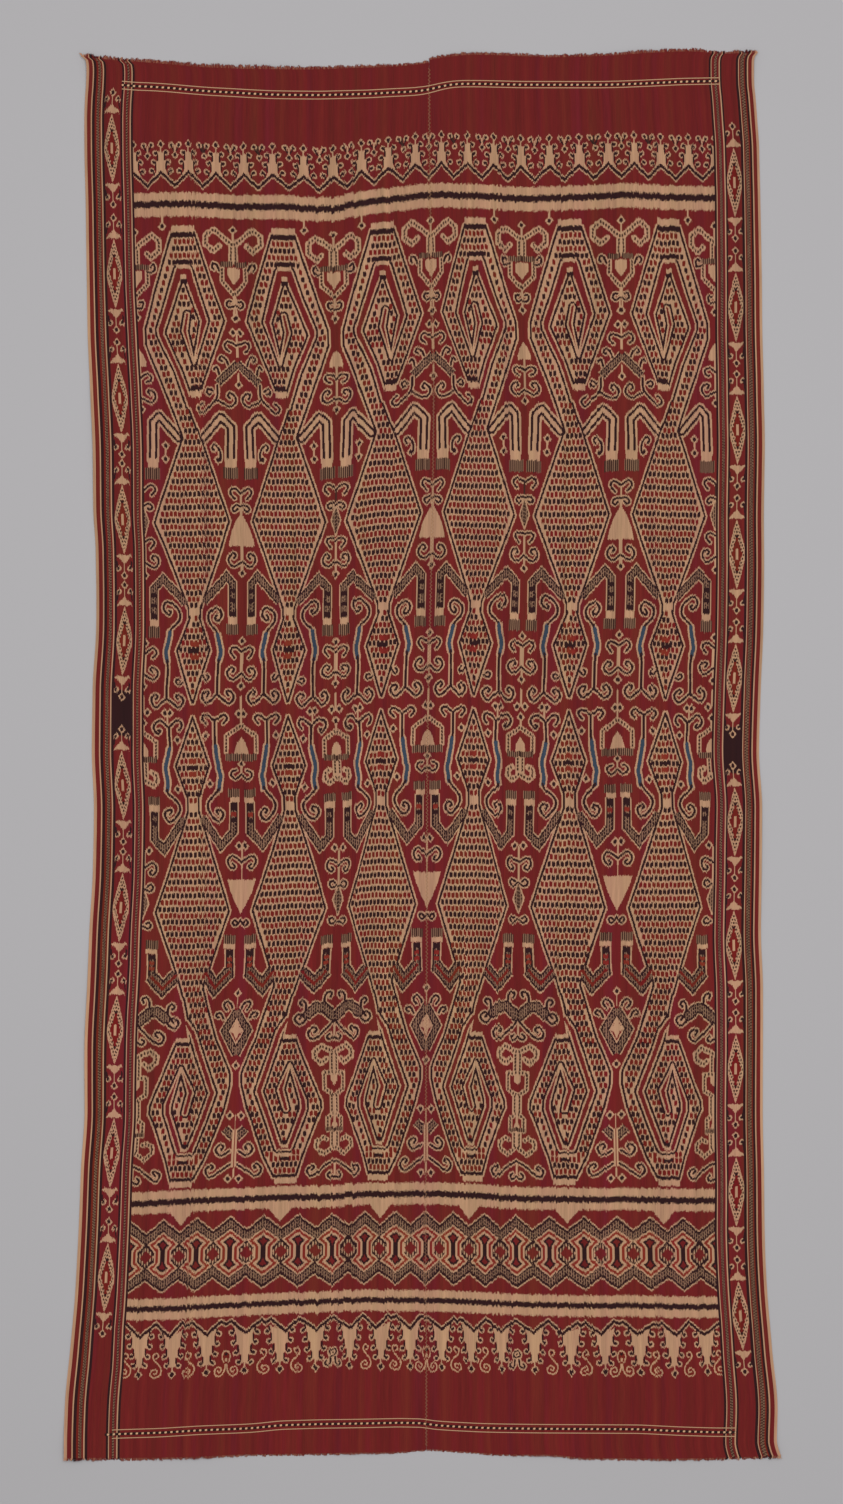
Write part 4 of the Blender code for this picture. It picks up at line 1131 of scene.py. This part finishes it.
def ikatCotton():
    material = bpy.data.materials.new("ikat_warp_cotton")
    material.use_nodes = True
    tree = material.node_tree
    shader = tree.nodes["Principled BSDF"]
    place = addNode(tree, "ShaderNodeUVMap", {"uv_map": "weave"}).outputs[0]
    axes = addNode(tree, "ShaderNodeSeparateXYZ", Vector=place)
    across, along = axes.outputs[0], axes.outputs[1]
    thread = math(tree, "FLOOR", math(tree, "MULTIPLY", math(tree, "FRACT", across), cloth["threadsPerCell"]))
    pick = math(tree, "FLOOR", math(tree, "MULTIPLY", math(tree, "FRACT", along), cloth["picksPerCell"]))
    held = None
    for half, name in enumerate(("threadsA", "threadsB")):
        packed = addNode(tree, "ShaderNodeAttribute", {"attribute_name": name})
        parts = addNode(tree, "ShaderNodeSeparateColor", Color=packed.outputs["Color"])
        for i, channel in enumerate((*parts.outputs[:3], packed.outputs["Alpha"])):
            mine = math(tree, "COMPARE", thread, half * 4 + i, 0.5)
            held = math(tree, "MULTIPLY_ADD", mine, channel, 0.0 if held is None else held)
    shifted = math(tree, "DIVIDE", math(tree, "ADD", held, 0.5), math(tree, "POWER", 8.0, pick))
    index = math(tree, "MODULO", math(tree, "FLOOR", shifted), 8.0)
    ramp = addNode(tree, "ShaderNodeValToRGB", Fac=math(tree, "DIVIDE", math(tree, "ADD", index, 0.5), 8.0))
    ramp.color_ramp.interpolation = "CONSTANT"
    stops = ramp.color_ramp.elements
    stops[0].color = linear(dyes[0])
    stops[1].position, stops[1].color = 1 / 8, linear(dyes[1])
    for number in range(2, 8):
        stops.new(number / 8).color = linear(dyes[number])
    # Streaks along the warp, from bundles that took the dye unevenly: 3 to 20 mm wide and a hand long or more.
    stretch = addNode(tree, "ShaderNodeMapping", Vector=place, Scale=(1.0, 0.02, 1.0))
    streaks = addNode(tree, "ShaderNodeTexNoise", {"noise_dimensions": "2D"}, Vector=stretch.outputs[0], Scale=0.4,
                      Detail=5.0, Roughness=0.75)
    fine = addNode(tree, "ShaderNodeTexNoise", {"noise_dimensions": "2D"}, Vector=stretch.outputs[0], Scale=7.0,
                   Detail=2.0)
    shade = math(tree, "MULTIPLY_ADD", streaks.outputs[0], 0.9, 0.27)
    shade = math(tree, "ADD", shade, math(tree, "MULTIPLY", fine.outputs[0], 0.55))
    # the lower end is a little brighter, by a tenth over the whole length
    worth = math(tree, "MULTIPLY_ADD", along, 0.11 / cloth["cellsAlong"], 0.94)
    shade = math(tree, "MULTIPLY", shade, worth)
    # some bundles are a warmer red than others
    warmth = addNode(tree, "ShaderNodeTexNoise", {"noise_dimensions": "2D"}, Vector=stretch.outputs[0], Scale=0.25,
                     Detail=3.0)
    hue = math(tree, "MULTIPLY_ADD", warmth.outputs[0], 0.03, 0.487)
    worn = addNode(tree, "ShaderNodeHueSaturation", Hue=hue, Value=shade, Color=ramp.outputs[0])
    tree.links.new(worn.outputs[0], shader.inputs["Base Color"])
    shader.inputs["Roughness"].default_value = 0.88
    shader.inputs["Specular IOR Level"].default_value = 0.2
    shader.inputs["Sheen Weight"].default_value = 0.02
    shader.inputs["Sheen Roughness"].default_value = 0.6
    # Ribs of the warp, one to a thread, with the picks faintly across them.
    ribs = math(tree, "PINGPONG", math(tree, "MULTIPLY", across, cloth["threadsPerCell"]), 0.5)
    bars = math(tree, "PINGPONG", math(tree, "MULTIPLY", along, cloth["picksPerCell"]), 0.5)
    height = math(tree, "MULTIPLY_ADD", bars, 0.35, ribs)
    bump = addNode(tree, "ShaderNodeBump", Height=height, Strength=0.25, Distance=0.0004)
    tree.links.new(bump.outputs[0], shader.inputs["Normal"])
    return material


def packThreads(inks):
    """Ink numbers packed a cell at a time: each thread's picks as one number, the first pick lowest, base 8."""
    alongCell, acrossCell = cloth["picksPerCell"], cloth["threadsPerCell"]
    cells = inks.reshape(cloth["cellsAlong"], alongCell, cloth["cellsAcross"], acrossCell).astype(np.float64)
    weight = 8.0 ** np.arange(alongCell)
    return np.einsum("apct,p->act", cells, weight).reshape(-1, acrossCell).astype(np.float32)


def wovenPanel(name, panel, material):
    """A panel's upper face on a grid of cells, thickened downwards. Thread share s and length share t run evenly."""
    s = np.linspace(0, 1, cloth["cellsAcross"] + 1)[None, :]
    t = np.linspace(0, 1, cloth["cellsAlong"] + 1)[:, None]
    out, down = panelPlaces(panel, s, t)
    points = placed(panel["side"] * out, down, 0.0)
    faces = gridFaces(*points.shape[:2])
    if panel["side"] < 0:
        faces = faces[:, ::-1]
    piece = newPiece(f"woven_panel_{name}", points, faces, material)
    mesh = piece.data
    # The weave's own places: cells out from the seam and cells down from the top.
    u = np.broadcast_to(s * cloth["cellsAcross"], out.shape).ravel()
    v = np.broadcast_to(t * cloth["cellsAlong"], out.shape).ravel()
    corners = faces.ravel()
    layer = mesh.uv_layers.new(name="weave")
    layer.data.foreach_set("uv", np.stack([u[corners], v[corners]], axis=1).ravel())
    packed = packThreads(warpInks(name, panel))
    for label, part in (("threadsA", packed[:, :4]), ("threadsB", packed[:, 4:])):
        attribute = mesh.attributes.new(label, "FLOAT_COLOR", "FACE")
        attribute.data.foreach_set("color", np.ascontiguousarray(part).ravel())
    solid = piece.modifiers.new("thickness", "SOLIDIFY")
    solid.thickness = cloth["thickness"] * mm
    solid.offset = -1
    return piece


print("Weaving the panels")
cotton = ikatCotton()
woven = {name: wovenPanel(name, panel, cotton) for name, panel in panels.items()}

# Yarn and thread


def yarn(name, colour, second=None, middle=None):
    """Spun cotton yarn: matt, with fine fibres seen as a slight change of shade. Two or three colours go by strand."""
    material = bpy.data.materials.new(name)
    material.use_nodes = True
    tree = material.node_tree
    shader = tree.nodes["Principled BSDF"]
    dye = addNode(tree, "ShaderNodeAttribute", {"attribute_name": "dye"})
    ramp = addNode(tree, "ShaderNodeValToRGB", Fac=dye.outputs["Fac"])
    ramp.color_ramp.elements[0].color = linear(colour)
    ramp.color_ramp.elements[1].color = linear(second or colour)
    if middle:
        ramp.color_ramp.elements.new(0.5).color = linear(middle)
    place = addNode(tree, "ShaderNodeTexCoord").outputs["Object"]
    fuzz = addNode(tree, "ShaderNodeTexNoise", Vector=place, Scale=900.0, Detail=2.0)
    value = math(tree, "MULTIPLY_ADD", fuzz.outputs[0], 0.5, 0.75)
    worn = addNode(tree, "ShaderNodeHueSaturation", Value=value, Color=ramp.outputs[0])
    tree.links.new(worn.outputs[0], shader.inputs["Base Color"])
    shader.inputs["Roughness"].default_value = 0.9
    shader.inputs["Specular IOR Level"].default_value = 0.2
    shader.inputs["Sheen Weight"].default_value = 0.03
    bump = addNode(tree, "ShaderNodeBump", Height=fuzz.outputs[0], Strength=0.3, Distance=0.0002)
    tree.links.new(bump.outputs[0], shader.inputs["Normal"])
    return material


def tubes(paths, radius, sides, flat=1.0):
    """Round tubes along many paths at once, paths * stations * 3 in mm. Each station's ring stands across the
    path's own direction: centre + radius * (cos * side + flat * sin * up), so a flat below 1 gives pressed yarn."""
    direction = np.gradient(paths, axis=1)
    direction /= np.linalg.norm(direction, axis=2, keepdims=True)
    up = np.array([0.0, 0.0, 1.0])
    side = np.cross(direction, up)
    side /= np.maximum(np.linalg.norm(side, axis=2, keepdims=True), 1e-9)
    over = np.cross(side, direction)
    angle = np.arange(sides) * 2 * np.pi / sides
    ring = np.cos(angle)[:, None] * side[:, :, None] + flat * np.sin(angle)[:, None] * over[:, :, None]
    points = paths[:, :, None] + ring * np.asarray(radius, float).reshape(-1, 1, 1, 1)
    count, stations = paths.shape[:2]
    first = (np.arange(count) * stations * sides)[:, None, None]
    along = (np.arange(stations - 1) * sides)[None, :, None]
    around = np.arange(sides)[None, None, :]
    after = (np.arange(sides) + 1) % sides
    low, lowNext = first + along + around, first + along + after
    walls = np.stack(np.broadcast_arrays(low, lowNext, lowNext + sides, low + sides), axis=-1).reshape(-1, 4)
    return points.reshape(-1, 3) * mm, walls


def tubePiece(name, paths, radius, sides, dye, material, flat=1.0):
    """One mesh of many closed tubes, with each tube's dye kept on its faces."""
    points, walls = tubes(paths, radius, sides, flat)
    count, stations = paths.shape[:2]
    starts = (np.arange(count) * stations * sides)[:, None]
    ring = np.arange(sides)[None, :]
    near = starts + ring[:, ::-1]
    far = starts + (stations - 1) * sides + ring
    faces = walls.tolist() + near.tolist() + far.tolist()
    mesh = bpy.data.meshes.new(name)
    mesh.from_pydata(points, [], faces)
    mesh.materials.append(material)
    perTube = (stations - 1) * sides
    values = np.concatenate([np.repeat(dye, perTube), dye, dye]).astype(np.float32)
    mesh.attributes.new("dye", "FLOAT", "FACE").data.foreach_set("value", values)
    piece = bpy.data.objects.new(name, mesh)
    bpy.context.scene.collection.objects.link(piece)
    return piece


# Cut warp ends: fine threads that stand out past the last pick, a little uneven.
warpEnds = {
    "threads": 1400,
    "tufts": 150,  # groups of ends that lean and break off together
    "radius": 0.33,  # mm
    "stations": 5,
    "lengths": {  # mm, at the seam, midway and at the corner
        ("left", "top"): (5.5, 7.5, 6.5),
        ("right", "top"): (5.5, 6.5, 6.0),
        ("left", "bottom"): (4.0, 5.0, 6.5),
        ("right", "bottom"): (4.0, 5.0, 6.0),
    },
    "lean": 1.4,  # mm
    "seed": 23,
}


def warpEndPaths(name, end):
    panel = panels[name]
    chance = np.random.RandomState(warpEnds["seed"] + 3 * (end == "top") + (name == "left"))
    count = warpEnds["threads"]
    s = (np.arange(count) + chance.uniform(0.1, 0.9, count)) / count
    t = np.full(count, 0.0 if end == "top" else 1.0)
    out, down = panelPlaces(panel, s, t)
    away = -1 if end == "top" else 1
    tuft = np.floor(s * warpEnds["tufts"] + chance.normal(0, 0.2, count)).astype(int) % warpEnds["tufts"]
    worn = chance.uniform(0.6, 1.1, warpEnds["tufts"])[tuft] * chance.uniform(0.75, 1.1, count)
    length = np.interp(s, (0, 0.5, 1), warpEnds["lengths"][name, end]) * worn
    lean = chance.normal(0, warpEnds["lean"], warpEnds["tufts"])[tuft] + chance.normal(0, 0.5, count)
    along = np.linspace(0, 1, warpEnds["stations"])[None, :]
    across = panel["side"] * out[:, None] + lean[:, None] * along ** 2
    reach = down[:, None] + away * (length[:, None] * along - 0.8)
    above = -0.6 - 0.35 * along
    # the stripes run on into the ends: 0 is black, 0.5 red and 1 cream
    starts = warpStripes[name]
    stripe = np.searchsorted([start for start, _ in starts], seamLine + panel["side"] * s * panel["chartWidth"]) - 1
    shades = {black: 0.0, darkRed: 0.35, red: 0.5, cream: 1.0, tan: 0.9, "speckled": 0.2}
    dye = np.array([shades.get(ink, 0.5) for _, ink in starts])[np.maximum(stripe, 0)]
    return placed(across, reach, above) / mm, np.where(dye == 0.5, 0.5 + 0.4 * chance.uniform(0, 1, count) ** 4, dye)


print("Laying the cut ends")
endYarn = yarn("cut_cotton_ends", "#2b1011", "#c09070", "#74201d")
ends = {}
for (name, end) in warpEnds["lengths"]:
    paths, dye = warpEndPaths(name, end)
    ends[name, end] = tubePiece(f"warp_ends_{end}_{name}", paths, warpEnds["radius"], 4, dye, endYarn)

# Sewing down the seam: a pale zigzag thread over both inner selvedges.
seam = {"pitch": 6.2, "halfWidth": 2.0, "radius": 0.3, "first": 34, "last": 2307}


def seamPath():
    """Zigzag of half width w and pitch p: across = w * (4 * |frac(d / p) - 0.5| - 1), drawn tight over the gap, so
    its corners stand highest."""
    down = np.arange(seam["first"], seam["last"], seam["pitch"] / 8)
    phase = (down / seam["pitch"]) % 1
    across = seam["halfWidth"] * (4 * np.abs(phase - 0.5) - 1)
    above = 0.02 + 0.22 * np.abs(across / seam["halfWidth"])
    return placed(across, down, above)[None] / mm


print("Sewing the seam")
seamThread = yarn("pale_sewing_cotton", "#9a6c4a", "#ad7f5c")
stitches = tubePiece("seam_stitches", seamPath(), seam["radius"], 6, np.array([0.5]), seamThread)

# Twined rows worked over the warp near each end: one pale and one dark strand that turn about each other, so that
# they show by turns, between two thin pale cords.
twining = {
    "cordRadius": 0.75,
    "strandRadius": (2.1, 1.6),  # mm, dark and pale
    "strandHeight": (0.3, 0.15),  # mm above the cloth, dark and pale
    "flat": 0.45,  # the strands' height as a share of their width
    "aside": 0.12,  # mm, how far each strand swings sideways
    "rise": 0.6,  # mm, how far it swings up and down
    "pitch": 9.5,  # mm to one full turn
    # by end: rows of the strands in knots, as column and row on the laid cloth; then the cords' distance above and
    # below by column, in knots; then the cords' first and last columns
    "rows": {
        "top": ((122, 85), (135, 86.4), (150, 86.8), (170, 88.1), (190, 90), (210, 91.6), (230, 92.6), (250, 93.8),
                (270, 94.8), (290, 95.1), (320, 95.3), (350, 94.5), (370, 94), (390, 92.8), (410, 91.9), (420, 91.1),
                (430, 89.5), (440, 86.8), (450, 84.9), (460, 84), (480, 84), (500, 84.4), (520, 84.9), (600, 85),
                (620, 84.6), (640, 83.8), (660, 82.9), (680, 81.9), (700, 81.5), (719, 81.2)),
        "bottom": ((105, 1434.5), (120, 1433.7), (160, 1432.5), (200, 1430), (240, 1428.5), (255, 1427.7),
                   (280, 1425), (320, 1423.8), (360, 1423.3), (400, 1422.5), (425, 1423), (430, 1424.5),
                   (450, 1426), (480, 1427.5), (500, 1428), (540, 1428.5), (600, 1428.8), (640, 1429), (680, 1431),
                   (715, 1432), (736, 1432)),
    },
    "apart": {
        "top": ((122, 3.8, 3.9), (420, 3.8, 3.9), (450, 3.3, 3.0), (719, 3.3, 3.0)),
        "bottom": ((105, 4.2, 4.2), (736, 4.2, 4.2)),
    },
    "cords": {"top": (122, 719), "bottom": (112, 736)},
}


def twinedRow(end, first, last, offset=0.0):
    """Middle line of a row in mm, (across, down), smoothed over 25 mm; across is measured from the seam."""
    rows = np.array(twining["rows"][end], float)
    column = np.arange(first, last, 0.36)
    down = np.interp(column, rows[:, 0], rows[:, 1])
    down = np.convolve(np.pad(down, 20, mode="edge"), np.ones(41) / 41, mode="valid")
    apart = np.array(twining["apart"][end])
    away = np.interp(column, apart[:, 0], apart[:, 1 if offset < 0 else 2])
    down = (down + offset * away - chartTop) * knot
    return (column - seamLine) * knot - readCurve(seamBow, down), down


print("Twining the rows")
twiningYarn = yarn("twined_cotton", "#2b1413", "#d0a680")
twined = {}
for end, rows in twining["rows"].items():
    strandAcross, strandDown = twinedRow(end, rows[0][0], rows[-1][0])
    phase = strandAcross / twining["pitch"] * 2 * np.pi
    parts = []
    for shift, height in zip((0, np.pi), twining["strandHeight"]):
        swing = twining["aside"] * np.cos(phase + shift)
        rise = height + twining["rise"] * np.sin(phase + shift)
        parts.append(placed(strandAcross, strandDown + swing, rise) / mm)
    strands = tubePiece(f"twined_row_{end}", np.stack(parts), np.array(twining["strandRadius"]), 7, np.array([0.0, 1.0]),
                        twiningYarn, twining["flat"])
    cords = []
    for offset in (-1, 1):
        across, down = twinedRow(end, *twining["cords"][end], offset)
        cords.append(placed(across, down, np.full(across.shape, 0.1)) / mm)
    twined[end] = strands
    twined[f"{end} cords"] = tubePiece(f"twined_cords_{end}", np.stack(cords), twining["cordRadius"], 7,
                                       np.array([0.85, 0.85]), twiningYarn)

# Floor, light and camera

print("Setting the floor, the light and the camera")
floorMesh = bpy.data.meshes.new("floor")
floorMesh.from_pydata([(-30, -30, 0), (30, -30, 0), (30, 30, 0), (-30, 30, 0)], [], [(0, 1, 2, 3)])
floor = bpy.data.objects.new("floor", floorMesh)
bpy.context.scene.collection.objects.link(floor)
paper = bpy.data.materials.new("matt_grey_paper")
paper.use_nodes = True
paper.node_tree.nodes["Principled BSDF"].inputs["Base Color"].default_value = linear("#b3b1b3")
paper.node_tree.nodes["Principled BSDF"].inputs["Roughness"].default_value = 0.95
floorMesh.materials.append(paper)

world = bpy.data.worlds.new("soft room")
bpy.context.scene.world = world
world.use_nodes = True
world.node_tree.nodes["Background"].inputs["Color"].default_value = (1, 1, 1, 1)
world.node_tree.nodes["Background"].inputs["Strength"].default_value = 0.36
lamp = bpy.data.lights.new("soft box", "AREA")
lamp.size = 4.0
lamp.energy = 175
lampObject = bpy.data.objects.new("soft box", lamp)
lampObject.location = (0.2, 0.6, 4.8)
lampObject.rotation_euler = (-0.12, 0.04, 0)
bpy.context.scene.collection.objects.link(lampObject)
bpy.context.scene.view_settings.view_transform = "Standard"

view = {"frameHeight": 1504 * knot * mm, "distance": 6.0, "middle": (-0.0014, 0.0052)}
lens = bpy.data.cameras.new("camera")
lens.sensor_width = 36
lens.lens = 36 * view["distance"] / view["frameHeight"]
camera = bpy.data.objects.new("camera", lens)
camera.location = (*view["middle"], view["distance"])
bpy.context.scene.collection.objects.link(camera)
bpy.context.scene.camera = camera

# What each piece stands for

print("Naming the pieces to the frame")
for name, piece in woven.items():
    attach(piece, "root")
    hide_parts(f"panel_{name}")
for (name, end), piece in ends.items():
    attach(piece, "root")
    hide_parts(f"fringe_{end}_{name}")
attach(stitches, "root")
for piece in twined.values():
    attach(piece, "root")
